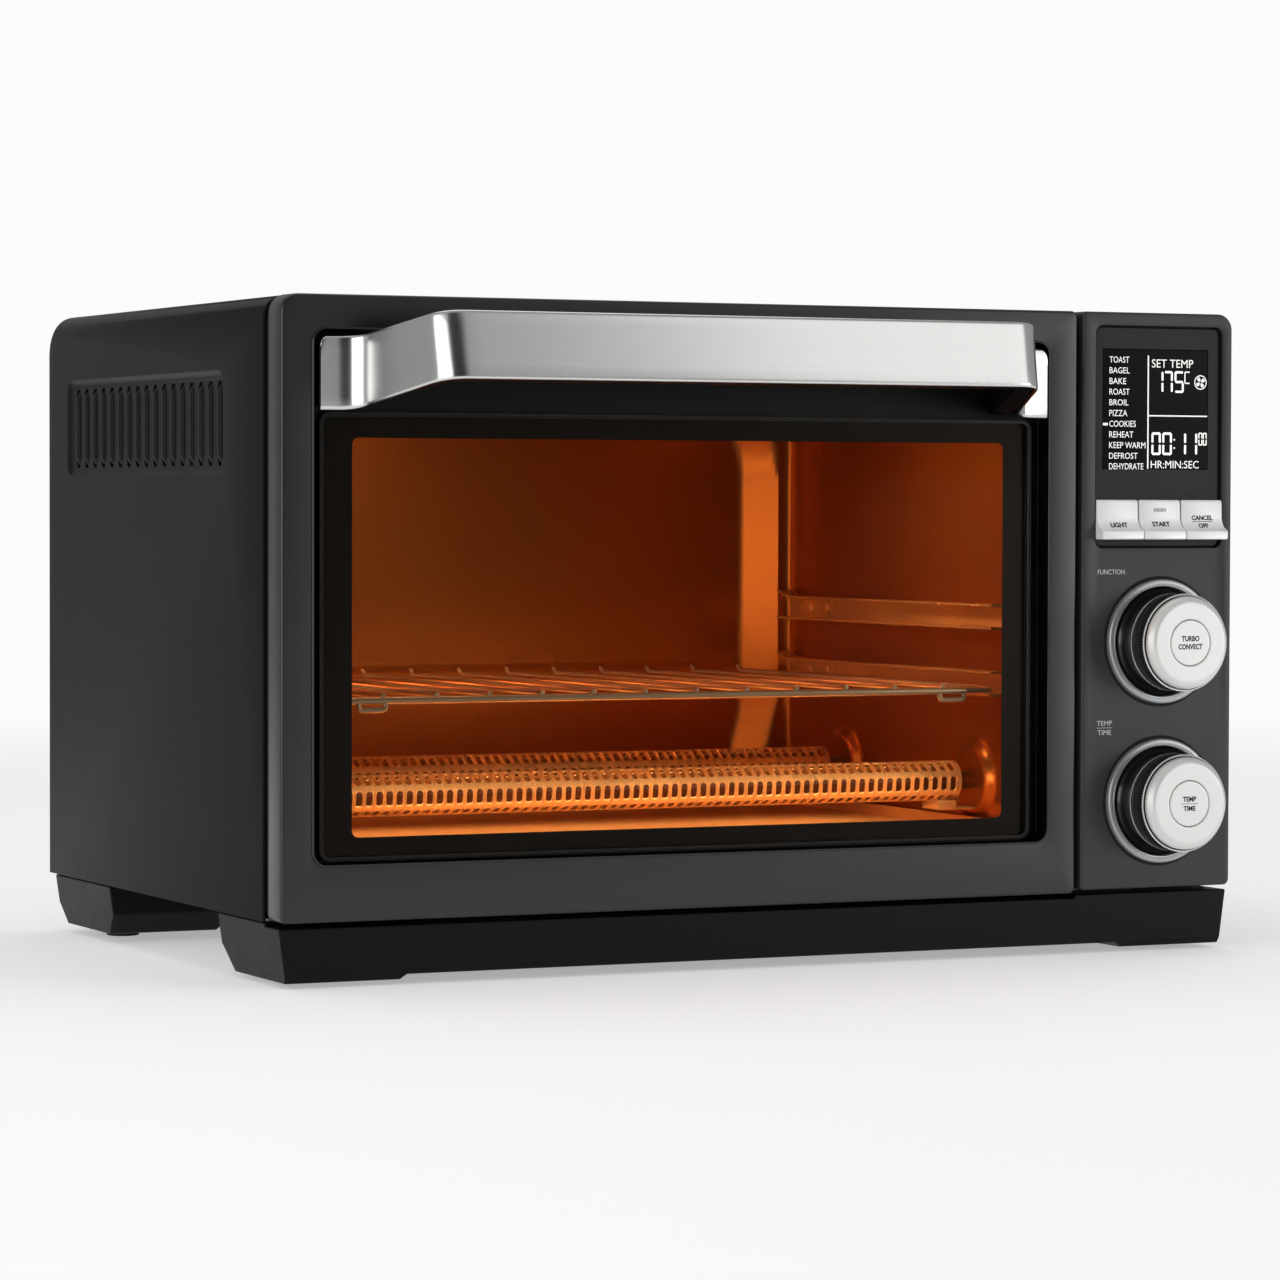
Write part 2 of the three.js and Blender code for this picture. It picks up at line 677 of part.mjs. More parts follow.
function temperatureProbe() {
  const { y, z, radius, x0, x1 } = PROBE;
  return rodX(x0, x1, y, z, radius, 12).add(rodX(x1 - 6, x1 - 3, y, z, 6, 6));
}

// The sheet between the hot cavity and the control column.
function heatShield() {
  const { x, z0, z1, slots, slotY, slotPitch } = SHIELD;
  const outline = roundedRect(WRAP.front + 2, z0, BODY_DEPTH - 8, z1, 3);
  const tools = [];
  for (let i = 0; i < slots; i += 1) {
    const y = slotY + i * slotPitch;
    tools.push(box([x - 2, y, 40], [x + 4, y + 3, 70]));
  }
  return cut(plateYZ(outline, x, x + SHEET), tools);
}

// A rectangular frame of thick wire with thin wires across it, which turn up at the back, and two
// loops under its front that the door's hooks pull.
function wireRack() {
  const { x0, x1, y0, y1, z, frame, wire } = RACK;
  const [left, right] = [x0 + frame, x1 - frame];
  const [near, far] = [y0 + frame, y1 - frame];
  const sides = 8;
  const bars = [
    rodY(y0, y1, left, z, frame, sides),
    rodY(y0, y1, right, z, frame, sides),
    rodX(left, right, near, z, frame, sides),
    rodX(left, right, far, z, frame, sides),
  ];
  const wireZ = z + frame + wire - 0.7;
  const { count, pitch, upturn } = RACK_WIRES;
  const middle = (x0 + x1) / 2;
  for (let i = 0; i < count; i += 1) {
    const x = middle + (i - (count - 1) / 2) * pitch;
    bars.push(rodY(y0, y1, x, wireZ, wire, 6));
    bars.push(rodZ(wireZ, wireZ + upturn, x, y1 - wire, wire, 6));
  }
  const { x: hookX, half, low } = RACK_HOOK;
  for (const centre of [hookX, 2 * middle - hookX]) {
    bars.push(rodX(centre - half, centre + half, near, low, wire, 6));
    bars.push(rodZ(low, z, centre - half, near, wire, 6));
    bars.push(rodZ(low, z, centre + half, near, wire, 6));
  }
  return union(bars);
}

function crumbTray() {
  const { x0, x1, y0, y1, z0, rim, wall, pull } = TRAY;
  const outer = box([x0, y0, z0], [x1, y1, z0 + rim]);
  const hollow = box([x0 + wall, y0 + wall, z0 + wall], [x1 - wall, y1 - wall, z0 + rim + 1]);
  const middle = (x0 + x1) / 2;
  const lip = box(
    [middle - pull / 2, y0 - 4, z0 + rim - wall],
    [middle + pull / 2, y0 + wall, z0 + rim],
  );
  return cut(outer, [hollow]).add(lip);
}

function addCavity() {
  addPiece("cavity_liner", cavityLiner(), "liner");
  addPiece("front_bulkhead", frontBulkhead(), "charcoal");
  const levels = { upper: RAIL.highZ, lower: RAIL.lowZ };
  for (const [level, z] of Object.entries(levels)) {
    addPiece(`rack_guide_${level}_left`, rackGuide(CAVITY.x0, 1, z), "stainless");
    addPiece(`rack_guide_${level}_right`, rackGuide(CAVITY.x1, -1, z), "stainless");
  }
  const rows = ["front", "rear"];
  rows.forEach((row, i) => {
    addPiece(`heater_lower_${row}`, heater(LOWER_HEATERS[i], HEATER.lowerZ), "quartz");
    addPiece(`heater_upper_${row}`, heater(UPPER_HEATERS[i], HEATER.upperZ), "quartz");
    addPiece(`heater_guard_${row}`, heaterGuard(LOWER_HEATERS[i]), "stainless");
  });
  addPiece("oven_lamp", ovenLamp(), "glass");
  addPiece("lamp_holder", lampHolder(), "ceramic");
  addPiece("fan_impeller", fanImpeller(), "galvanised");
  addPiece("fan_motor", fanMotor(), "galvanised");
  addPiece("temperature_probe", temperatureProbe(), "chrome");
  addPiece("heat_shield", heatShield(), "galvanised");
  addPiece("wire_rack", wireRack(), "chrome");
  addPiece("crumb_tray", crumbTray(), "liner");
}

// ---- Door ---------------------------------------------------------------------------------------

function hingeRod(side, a0, a1, radius, sides = 16) {
  const [x0, x1] = [HINGE_SIDES[side](a0), HINGE_SIDES[side](a1)].sort((p, q) => p - q);
  return rodX(x0, x1, PIVOT.y, PIVOT.z, radius, sides);
}

// A rectangle of the door shrunk or grown by `inset` on every side.
function inner(area, inset, radius) {
  return roundedRect(area.x0 + inset, area.z0 + inset, area.x1 - inset, area.z1 - inset, radius);
}

function doorFrame() {
  const { corner, outerCorner, depth } = DOOR;
  const outline = inner(DOOR, 0, [corner, corner, corner, outerCorner]);
  const body = plateXZ(outline, 0, depth, 2);
  const recess = plateXZ(inner(RECESS, 0, RECESS.corner), -1, RECESS.depth);
  const window = plateXZ(inner(WINDOW, 0, WINDOW.corner), -1, depth + 1);
  const recessCan = plateXZ(inner(RECESS, -SKIN, RECESS.corner), 0, RECESS.depth + SKIN);
  const hollow = plateXZ(inner(DOOR, SKIN + 0.5, 2), SKIN, depth + 1).subtract(recessCan);
  const coverEdge = inner(DOOR, INNER_PANEL.inset - GAP, 2);
  const cover = plateXZ(coverEdge, INNER_PANEL.front - GAP, depth + 1);
  const lug = [];
  const notches = [];
  for (const side of Object.keys(HINGE_SIDES)) {
    for (const start of [HINGE.rib0, HINGE.rib1]) {
      const from = [start, SKIN / 2, DOOR.z0 + SKIN / 2];
      const to = [start + HINGE.rib, 11.5, PIVOT.z + 6];
      lug.push(hingeBox(side, from, to));
    }
    notches.push(hingeRod(side, HINGE.rib0 - 1, HINGE.rib1 + HINGE.rib + 1, PIVOT.pin + GAP));
    const from = [HINGE.bracket0 - 1, SKIN, 0];
    const to = [HINGE.bracket1 + 1, depth + 1, PIVOT.z + 5.5];
    notches.push(hingeBox(side, from, to));
  }
  const shell = cut(body, [recess, window, hollow, cover]);
  return cut(union([shell, ...lug]), notches);
}

function doorInnerPanel() {
  const { front, back, inset } = INNER_PANEL;
  const sheet = plateXZ(inner(DOOR, inset, 2), front, back);
  const window = plateXZ(inner(WINDOW, -2, WINDOW.corner), front - 1, back + 1);
  const notches = Object.keys(HINGE_SIDES).map((side) =>
    hingeBox(side, [HINGE.bracket0 - 1, 0, 0], [HINGE.bracket1 + 1, 20, PIVOT.z + 5.5]),
  );
  return cut(sheet, [window, ...notches]);
}

function doorGlass() {
  return plateXZ(inner(GLASS, 0, GLASS.corner), GLASS.front, RECESS.depth - GAP);
}

// An arm from a round eye on the pin back through the bulkhead, with its foot screwed on behind.
function hingeBracket(side) {
  const { arm, foot, footTop, thick } = BRACKET;
  const footY = BULKHEAD.front + SHEET + GAP;
  const [a0, a1] = [HINGE.bracket0, HINGE.bracket1];
  const eye = hingeRod(side, a0, a1, arm, 24);
  const reach = hingeBox(side, [a0, PIVOT.y, PIVOT.z - arm], [a1, footY + thick, PIVOT.z + arm]);
  const flange = hingeBox(
    side,
    [a0, footY, PIVOT.z - arm + 1],
    [a0 + foot, footY + thick, PIVOT.z + footTop],
  );
  return cut(union([eye, reach, flange]), [hingeRod(side, 0, a0 + foot, PIVOT.pin + GAP)]);
}

// A torsion spring wound round the hinge pin, with its two tails lying along the door.
function hingeSpring(side) {
  const wire = 0.6;
  const coil = PIVOT.pin + GAP + wire + 0.2;
  const [a0, a1] = [HINGE.bracket1 + 1.8, HINGE.rib1 - 1.2];
  const turns = HINGE.springTurns;
  const stepsPerTurn = 8;
  const steps = turns * stepsPerTurn;
  const points = [];
  for (let i = 0; i <= steps; i += 1) {
    const turn = (i / stepsPerTurn) * 2 * Math.PI;
    const x = HINGE_SIDES[side](a0 + ((a1 - a0) * i) / steps);
    const [y, z] = [PIVOT.y + coil * Math.cos(turn), PIVOT.z + coil * Math.sin(turn)];
    points.push(new THREE.Vector3(x, y, z));
  }
  const section = new THREE.Shape();
  section.absarc(0, 0, wire, 0, 2 * Math.PI);
  const path = new THREE.CatmullRomCurve3(points);
  const options = { steps, extrudePath: path, curveSegments: 2 };
  return solid(new THREE.ExtrudeGeometry(section, options));
}

// The handle's line seen from above, from the left end plate to the right one, bends included.
function handleLine() {
  const { plateOuter, plateInner, plateY, barX, plateBend, barBend } = HANDLE;
  const barY = HANDLE.sheet - HANDLE_REACH;
  const mirror = (x) => DOOR.x1 - x;
  const corners = [
    [plateOuter, plateY],
    [plateInner, plateY],
    [barX, barY],
    [mirror(barX), barY],
    [mirror(plateInner), plateY],
    [mirror(plateOuter), plateY],
  ].map(([x, y]) => new THREE.Vector2(x, y));
  const path = new THREE.Path();
  path.moveTo(corners[0].x, corners[0].y);
  for (let i = 1; i < corners.length - 1; i += 1) {
    const [before, here, after] = corners.slice(i - 1, i + 2);
    const bend = here.y === plateY ? plateBend : barBend;
    const enter = here.clone().add(before.clone().sub(here).setLength(bend));
    const leave = here.clone().add(after.clone().sub(here).setLength(bend));
    const from = path.currentPoint.clone();
    const isArm = Math.abs(enter.y - from.y) > bend;
    const pieces = isArm ? 6 : 1;
    for (let k = 1; k <= pieces; k += 1) {
      const step = from.clone().lerp(enter, k / pieces);
      path.lineTo(step.x, step.y);
    }
    path.quadraticCurveTo(here.x, here.y, leave.x, leave.y);
  }
  path.lineTo(corners.at(-1).x, corners.at(-1).y);
  return path.getPoints(4);
}

// The line moved sideways by `amount`, towards the door where it is positive.
function offsetLine(line, amount) {
  return line.map((point, i) => {
    const before = line[Math.max(i - 1, 0)];
    const after = line[Math.min(i + 1, line.length - 1)];
    const along = after.clone().sub(before).normalize();
    return point.clone().add(new THREE.Vector2(-along.y, along.x).multiplyScalar(amount));
  });
}

// Raises a plan outline into the handle's leaning form, between two fractions of its height.
function handleForm(outline, low, high) {
  const form = new THREE.ExtrudeGeometry(new THREE.Shape(outline), {
    depth: high - low,
    steps: 3,
    bevelEnabled: false,
  });
  const { plateY, plateZ0, plateZ1, barZ0, barZ1, topSetback } = HANDLE;
  const spots = form.attributes.position;
  for (let i = 0; i < spots.count; i += 1) {
    const up = low + spots.getZ(i);
    const out = plateY - spots.getY(i);
    const share = Math.min(Math.max(out / (plateY + HANDLE_REACH), 0), 1);
    const z0 = plateZ0 + (barZ0 - plateZ0) * share;
    const z1 = plateZ1 + (barZ1 - plateZ1) * share;
    const lean = 1 - (1 - topSetback) * up * share;
    spots.setXYZ(i, spots.getX(i), plateY - out * lean, z0 + (z1 - z0) * up);
  }
  return solid(form);
}

function doorHandle() {
  const line = handleLine();
  const outline = [...offsetLine(line, -HANDLE.sheet), ...line.slice().reverse()];
  return handleForm(outline, 0, 1);
}

function handleCore() {
  const { plateOuter, plateInner, barX, core, coreLow, coreHigh } = HANDLE;
  const mirror = (x) => DOOR.x1 - x;
  const behind = offsetLine(handleLine(), GAP + 0.2);
  const rear = RECESS.depth - GAP;
  const inside = [
    [plateOuter, rear],
    [plateInner + core / 2, rear],
    [barX + core / 2, core - HANDLE_REACH],
  ];
  const points = inside.map(([x, y]) => new THREE.Vector2(x, y));
  const mirrored = inside.map(([x, y]) => new THREE.Vector2(mirror(x), y));
  const outline = [...behind, ...mirrored, ...points.reverse()];
  return handleForm(outline, coreLow, coreHigh);
}

function addDoor() {
  addPiece("door_frame", doorFrame(), "charcoal");
  addPiece("door_inner_panel", doorInnerPanel(), "galvanised");
  addPiece("door_glass", doorGlass(), "glass");
  addPiece("door_handle", doorHandle(), "stainless");
  addPiece("handle_core", handleCore(), "plastic");
  for (const side of Object.keys(HINGE_SIDES)) {
    const pin = hingeRod(side, HINGE.rib0 + GAP, HINGE.rib1 + HINGE.rib - GAP, PIVOT.pin);
    addPiece(`hinge_pin_${side}`, pin, "stainless");
    addPiece(`hinge_bracket_${side}`, hingeBracket(side), "galvanised");
    addPiece(`hinge_spring_${side}`, hingeSpring(side), "stainless");
  }
}

// ---- Control column -----------------------------------------------------------------------------

const BUTTON_NAMES = ["light", "start", "cancel"];

function buttonSpan(i) {
  const width = (INSET.x1 - INSET.x0) / BUTTON_NAMES.length;
  const x0 = INSET.x0 + i * width + BUTTON.gap;
  return [x0, x0 + width - 2 * BUTTON.gap];
}

function controlFascia() {
  const { x0, x1, z0, z1, depth, corner, face, wall } = PANEL;
  const body = plateXZ(inner(PANEL, 0, [2, 3, corner, 2]), 0, depth, 1);
  const hollow = box([x0 + wall, face, z0 + wall], [x1 - wall, depth + 1, z1 - wall]);
  const inset = plateXZ(inner(INSET, 0, INSET.corner), -1, INSET.depth);
  const lcdHole = box([LCD.x0 - GAP, 0, LCD.z0 - GAP], [LCD.x1 + GAP, face + 1, LCD.z1 + GAP]);
  const holes = [hollow, inset, lcdHole];
  BUTTON_NAMES.forEach((_, i) => {
    const [a, b] = buttonSpan(i);
    const [from, to] = [a + STEM.inset - 1, b - STEM.inset + 1];
    holes.push(box([from, 0, STEM.z0 - 1.5], [to, face + 1, STEM.z1 + 1.5]));
  });
  for (const z of Object.values(KNOB_Z)) {
    holes.push(rodY(-1, face + 1, KNOB_X, z, KNOB.bezelIn + 1, 32));
  }
  return cut(body, holes);
}

// A paddle whose face sweeps forward to a lip at the bottom, on a stem that passes the fascia.
function paddleButton(i) {
  const [a, b] = buttonSpan(i);
  const { z0, z1, lip } = BUTTON;
  const back = INSET.depth - GAP - BUTTON.travel;
  const face = new THREE.Shape();
  face.moveTo(back, z0);
  face.lineTo(-lip + 1, z0);
  face.lineTo(-lip, z0 + 1);
  face.lineTo(-lip, z0 + 4);
  face.quadraticCurveTo(-1.2, z0 + 5.5, -0.8, z1 - 0.6);
  face.lineTo(-0.3, z1);
  face.lineTo(back, z1);
  face.closePath();
  const stem = box([a + STEM.inset, back - 0.5, STEM.z0], [b - STEM.inset, STEM.end, STEM.z1]);
  return plateYZ(face, a, b).add(stem);
}

function knobBezel(z) {
  const { bezel, bezelIn } = KNOB;
  return turnedY(
    [
      [bezelIn, KNOB_Y.bezel + 1],
      [bezelIn + 1, KNOB_Y.bezel],
      [bezel - 1, KNOB_Y.bezel],
      [bezel, KNOB_Y.bezel + 1.2],
      [bezel, -GAP],
      [bezelIn + 0.7, -GAP],
      [bezelIn + 0.7, PANEL.face],
      [bezelIn, PANEL.face],
      [bezelIn, KNOB_Y.bezel + 1],
    ],
    KNOB_X,
    z,
    28,
  );
}

function knobGrip(z) {
  const { skirt, grip } = KNOB;
  const bore = ENCODER.shaft + GAP;
  const pocket = KNOB.centre + GAP;
  return turnedY(
    [
      [bore, 3],
      [skirt, 3],
      [skirt, KNOB_Y.skirt],
      [grip - 0.6, KNOB_Y.grip + 0.6],
      [grip, KNOB_Y.grip],
      [grip, KNOB_Y.cap + GAP],
      [pocket, KNOB_Y.cap + GAP],
      [pocket, KNOB_Y.cap + 3.5],
      [bore, KNOB_Y.cap + 3.5],
      [bore, 3],
    ],
    KNOB_X,
    z,
    28,
  );
}

function knobCap(z) {
  const { cap, centre } = KNOB;
  const hole = centre + GAP;
  return turnedY(
    [
      [hole, KNOB_Y.cap],
      [cap, KNOB_Y.cap],
      [cap, KNOB_Y.front + 2.4],
      [cap - 2.6, KNOB_Y.front],
      [hole, KNOB_Y.front],
      [hole, KNOB_Y.cap],
    ],
    KNOB_X,
    z,
    28,
  );
}

function centreButton(z) {
  const { centre } = KNOB;
  const stem = ENCODER.bore - GAP;
  return turnedY(
    [
      [0, -2],
      [stem, -2],
      [stem, KNOB_Y.cap + 1],
      [centre, KNOB_Y.cap + 1],
      [centre, KNOB_Y.front + 0.3],
      [centre - 0.4, KNOB_Y.front],
      [0, KNOB_Y.front],
    ],
    KNOB_X,
    z,
    28,
  );
}

function encoder(z) {
  const { shaft, bore, tip, body, bodyY } = ENCODER;
  const can = box([KNOB_X - body, bodyY, z - body], [KNOB_X + body, BOARD.y - GAP, z + body]);
  const sleeve = rodY(tip, bodyY + 1, KNOB_X, z, shaft, 16);
  return cut(can.add(sleeve), [rodY(tip - 1, 2, KNOB_X, z, bore, 12)]);
}

function lcdDisplay() {
  const glass = box([LCD.x0, INSET.depth + 0.5, LCD.z0], [LCD.x1, PANEL.face + 3, LCD.z1]);
  const flange = box([LCD.x0 - 2, PANEL.face + GAP, LCD.z0 - 2], [LCD.x1 + 2, 9, LCD.z1 + 2]);
  return glass.add(flange);
}

// The keys, display and encoders are read by one upright board.
function controlBoard() {
  const { x0, x1, y, z0, z1, thick } = BOARD;
  const parts = [box([x0, y, z0], [x1, y + thick, z1])];
  const switchY = STEM.end + BUTTON.travel + GAP;
  const switchZ = (STEM.z0 + STEM.z1) / 2;
  BUTTON_NAMES.forEach((_, i) => {
    const [a, b] = buttonSpan(i);
    const x = (a + b) / 2;
    parts.push(box([x - 3, switchY, switchZ - 3], [x + 3, y + 0.5, switchZ + 3]));
  });
  parts.push(box([418, y + 1, 235], [440, y + 4, 257]));
  parts.push(box([450, y + 1, 120], [475, y + 10, 132]));
  return union(parts);
}

// The mains board stands in the column behind the heat shield, with its relays and transformer.
function powerBoard() {
  const { x, y0, y1, z0, z1 } = POWER;
  const front = x + 1;
  const board = box([x, y0, z0], [x + BOARD.thick, y1, z1]);
  const transformer = box([front, y0 + 20, z0 + 20], [x + 28, y0 + 50, z0 + 60]);
  const relays = [];
  for (let i = 0; i < 4; i += 1) {
    const z = z0 + 20 + i * 30;
    relays.push(box([front, y0 + 70, z], [x + 17, y0 + 95, z + 20]));
  }
  const capacitor = rodX(front, x + 24, y0 + 130, z0 + 40, 8, 16);
  const fuse = rodZ(z0 + 90, z0 + 130, x + 4.5, y0 + 135, 3.5, 12);
  return union([board, transformer, ...relays, capacitor, fuse]);
}

function addControls() {
  addPiece("control_fascia", controlFascia(), "panel");
  addPiece("lcd_display", lcdDisplay(), "gloss");
  BUTTON_NAMES.forEach((name, i) => addPiece(`${name}_button`, paddleButton(i), "silver"));
  for (const [name, z] of Object.entries(KNOB_Z)) {
    addPiece(`${name}_knob_bezel`, knobBezel(z), "chrome");
    addPiece(`${name}_knob`, knobGrip(z), "gloss");
    addPiece(`${name}_knob_cap`, knobCap(z), "silver");
    addPiece(`${name}_centre_button`, centreButton(z), "silver");
    addPiece(`${name}_encoder`, encoder(z), "galvanised");
  }
  addPiece("control_board", controlBoard(), "board");
  addPiece("power_board", powerBoard(), "board");
}

// ---- The whole oven -----------------------------------------------------------------------------

addHousing();
addCavity();
addDoor();
addControls();

// Centred left to right and front to back, standing on the worktop.
oven.position.set(-WIDTH / 2, (HANDLE_REACH - BODY_DEPTH - SPACER_REACH) / 2, 0);

export default oven;
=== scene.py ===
import math

import bmesh
import bpy
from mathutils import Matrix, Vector


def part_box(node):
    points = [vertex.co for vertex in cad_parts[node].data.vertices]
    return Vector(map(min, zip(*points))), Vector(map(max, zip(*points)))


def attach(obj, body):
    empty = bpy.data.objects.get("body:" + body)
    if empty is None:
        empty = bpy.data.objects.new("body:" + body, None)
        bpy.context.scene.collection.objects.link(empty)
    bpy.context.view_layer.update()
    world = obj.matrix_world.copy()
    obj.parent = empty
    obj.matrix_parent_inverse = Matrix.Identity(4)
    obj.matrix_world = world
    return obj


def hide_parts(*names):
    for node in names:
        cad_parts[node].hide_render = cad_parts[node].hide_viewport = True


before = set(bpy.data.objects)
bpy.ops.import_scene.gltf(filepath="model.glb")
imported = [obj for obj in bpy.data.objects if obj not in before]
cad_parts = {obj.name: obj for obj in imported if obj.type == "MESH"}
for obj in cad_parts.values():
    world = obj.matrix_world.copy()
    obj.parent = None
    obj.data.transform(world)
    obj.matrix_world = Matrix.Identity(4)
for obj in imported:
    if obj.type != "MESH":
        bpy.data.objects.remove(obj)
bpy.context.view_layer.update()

MM = 0.001
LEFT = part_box("outer_wrapper")[0].x  # X = 0: the left outer face
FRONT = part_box("door_frame")[0].y  # Y = 0: the front plane of the door
WIDTH = (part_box("outer_wrapper")[1].x - LEFT) / MM
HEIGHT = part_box("outer_wrapper")[1].z / MM

scene = bpy.context.scene
scene.view_settings.view_transform = "Standard"
scene.view_settings.look = "None"

# ---- Sizes, in mm from the left face, the door's front plane and the worktop ----------------------

WRAP = {"front": 22.3, "back": 318.5, "bottom": 28, "corner": 10, "rear": 9, "sheet": 1.2}
LOUVRE = {"y0": 72, "y1": 290, "z0": 224, "z1": 271, "corner": 6, "depth": 1.5}
SLOT = {"first": 79.6, "z0": 230, "z1": 264, "count": 17, "pitch": 12.36, "half": 3.1}
DOOR = {"x0": 0, "x1": 399.5, "z0": 28.5, "z1": HEIGHT, "depth": 15.5}
RECESS = {"x0": 15.5, "x1": 384, "z0": 53.6, "z1": 287.4, "corner": 6, "depth": 10}
WINDOW = {"x0": 31, "x1": 368.5, "z0": 60, "z1": 245, "corner": 4}
CLEAR = {"x0": 36.9, "x1": 364.7, "z0": 64.8, "z1": 240.3, "corner": 3}
GLASS = {"x0": 20.5, "x1": 378.5, "z0": 54.6, "z1": 251.5, "corner": 5, "front": 6, "back": 9.7}
HINGE_NOTCHES = (((7.5, 1.8, 30), (24, 16, 41)), ((8, 1.5, 20), (12, 16, 40)))  # at the left end
HANDLE = {
    "outer": 17.7, "inner": 35, "plate_y": -0.8, "bar_x": 54.5, "sheet": 1.2, "reach": 58.5, "bend": 10,
    "plate_z0": 252, "plate_z1": 284, "bar_z0": 265.2, "bar_z1": 294.6, "setback": 0.9, "corner": 3.5,
}
CAVITY = {"x0": 23, "x1": 377, "y0": 20, "y1": 250, "z0": 56, "z1": 284, "corner": 4.0, "sheet": 0.9}
PAN = {"x0": 30, "x1": 370, "z0": 62, "z1": 272, "low": 107, "high": 234.6, "taper": 12, "slope": 15}
HEATER_Y = (55, 189)
HEATER_Z = 80
FINE = 22  # the liner's mesh is fine up to this far from a heater's centre
DOME = {"rim": 20, "crown": 14.5, "depth": 4}
GUARD = {"x0": 36, "x1": 364, "radius": 9.5, "wall": 0.8, "pitch": 4.9, "rows": 6}
RAIL = {"y0": 24, "y1": 246, "reach": 10, "tall": 12, "wall": 1.2}
RACK = {"x0": 27, "x1": 373, "y0": 24, "y1": 242, "z": 124.1, "frame": 1.8, "wire": 1.4, "pitch": 25.8}
FAN = {"x": 95, "z": 165, "ring": 16}
PANEL = {"x0": 402.5, "x1": WIDTH, "z0": 30, "z1": HEIGHT, "depth": 22}
INSET = {"x0": 409.5, "x1": 479.5, "z0": 191.3, "z1": 296.2, "corner": 4, "depth": 2}
LCD = {"x0": 414.5, "x1": 472.4, "z0": 228.7, "z1": 285.1}
BUTTON = {"z0": 195.4, "z1": 214, "lip": 6.5, "gap": 0.4}
KNOB_X = 445.5
KNOB_Z = {"function": 147, "temp": 71.4}
KNOB_SIDES = 96
TEETH = 104
MARK = 0.03  # how thick printed marks are
CAMERA = {"at": (-720.3, -1875.5, 213.2), "azimuth": 25.45, "pitch": 1.73, "roll": 0.16, "lens": 130.13}


# ---- Mesh helpers: a part is (points in mm, faces) -------------------------------------------------

def place(p):
    return LEFT + p[0] * MM, FRONT + p[1] * MM, p[2] * MM


def merge(*parts):
    points, faces = [], []
    for p, f in parts:
        base = len(points)
        points += p
        faces += [tuple(i + base for i in face) for face in f]
    return points, faces


def loft(loops, close=False, caps=True):
    """Skin between loops of equally many points; close joins the last loop to the first."""
    n, m = len(loops[0]), len(loops)
    points = [p for loop in loops for p in loop]
    faces = []
    for i in range(m if close else m - 1):
        a, b = i * n, ((i + 1) % m) * n
        faces += [(a + k, a + (k + 1) % n, b + (k + 1) % n, b + k) for k in range(n)]
    if caps and not close:
        faces += [tuple(range(n)), tuple(range((m - 1) * n, m * n))]
    return points, faces


def grid(rows):
    """An open sheet through rows of points."""
    n = len(rows[0])
    points = [p for row in rows for p in row]
    faces = []
    for i in range(len(rows) - 1):
        for k in range(n - 1):
            a = i * n + k
            faces.append((a, a + 1, a + n + 1, a + n))
    return points, faces


def rounded(x0, z0, x1, z1, radii, n=6):
    """A rounded rectangle's points, anticlockwise from the low left corner."""
    a, b, c, d = radii if isinstance(radii, (list, tuple)) else [radii] * 4
    corners = [
        (x0 + a, z0 + a, a, 180), (x1 - b, z0 + b, b, 270), (x1 - c, z1 - c, c, 0), (x0 + d, z1 - d, d, 90),
    ]
    points = []
    for cx, cz, r, start in corners:
        for k in range(n + 1):
            t = math.radians(start + 90 * k / n)
            points.append((cx + r * math.cos(t), cz + r * math.sin(t)))
    return points


def inset_rect(area, inset, radii, n=6):
    return rounded(area["x0"] + inset, area["z0"] + inset, area["x1"] - inset, area["z1"] - inset, radii, n)


def at_y(points, y):
    return [(u, y, v) for u, v in points]


def at_x(points, x):
    return [(x, u, v) for u, v in points]


def block(lo, hi):
    outline = [(lo[0], lo[2]), (hi[0], lo[2]), (hi[0], hi[2]), (lo[0], hi[2])]
    return loft([at_y(outline, lo[1]), at_y(outline, hi[1])])


def ring_points(radius, sides):
    turns = (2 * math.pi * k / sides for k in range(sides))
    return [(radius * math.cos(t), radius * math.sin(t)) for t in turns]


def turned_y(profile, x, z, sides=64, close=True):
    """A lathe form about Y through (x, z), from (radius, y) points."""
    loops = [[(x + u, y, z + v) for u, v in ring_points(max(r, 1e-4), sides)] for r, y in profile]
    return loft(loops, close=close, caps=not close)


def turned_x(profile, y, z, sides):
    """A closed lathe form about X through (y, z), from (radius, x) points."""
    loops = [[(x, y + u, z + v) for u, v in ring_points(radius, sides)] for radius, x in profile]
    return loft(loops, close=True)


def tube(path, radius, sides=10):
    """A round wire along a line of points, with domed ends."""
    pts = [Vector(p) for p in path]
    first = (pts[1] - pts[0]).normalized()
    last = (pts[-1] - pts[-2]).normalized()
    dome = ((0.5, 0.45), (0.3, 0.85))  # shares of the radius: how far out, how wide
    rings = [(pts[0] - first * radius * out, first, radius * wide) for out, wide in dome]
    for i, p in enumerate(pts):
        along = pts[min(i + 1, len(pts) - 1)] - pts[max(i - 1, 0)]
        rings.append((p, along.normalized(), radius))
    rings += [(pts[-1] + last * radius * out, last, radius * wide) for out, wide in reversed(dome)]
    side = first.orthogonal().normalized()
    loops = []
    for centre, along, r in rings:
        side = (side - along * side.dot(along)).normalized()
        up = along.cross(side)
        loops.append([tuple(centre + side * u + up * v) for u, v in ring_points(r, sides)])
    return loft(loops)


def curve(start, pull, end, steps):
    """Points along a bend from start to end, drawn towards pull."""
    shares = (k / steps for k in range(steps + 1))
    return [start * (1 - t) ** 2 + pull * 2 * t * (1 - t) + end * t * t for t in shares]


def smooth_path(points, radius):
    """A line of points with each corner turned into a bend."""
    pts = [Vector(p) for p in points]
    out = [pts[0]]
    for a, b, c in zip(pts, pts[1:], pts[2:]):
        r = min(radius, (a - b).length * 0.49, (c - b).length * 0.49)
        out += curve(b + (a - b).normalized() * r, b, b + (c - b).normalized() * r, 5)
    return out + [pts[-1]]


def clamp(t):
    return min(max(t, 0), 1)


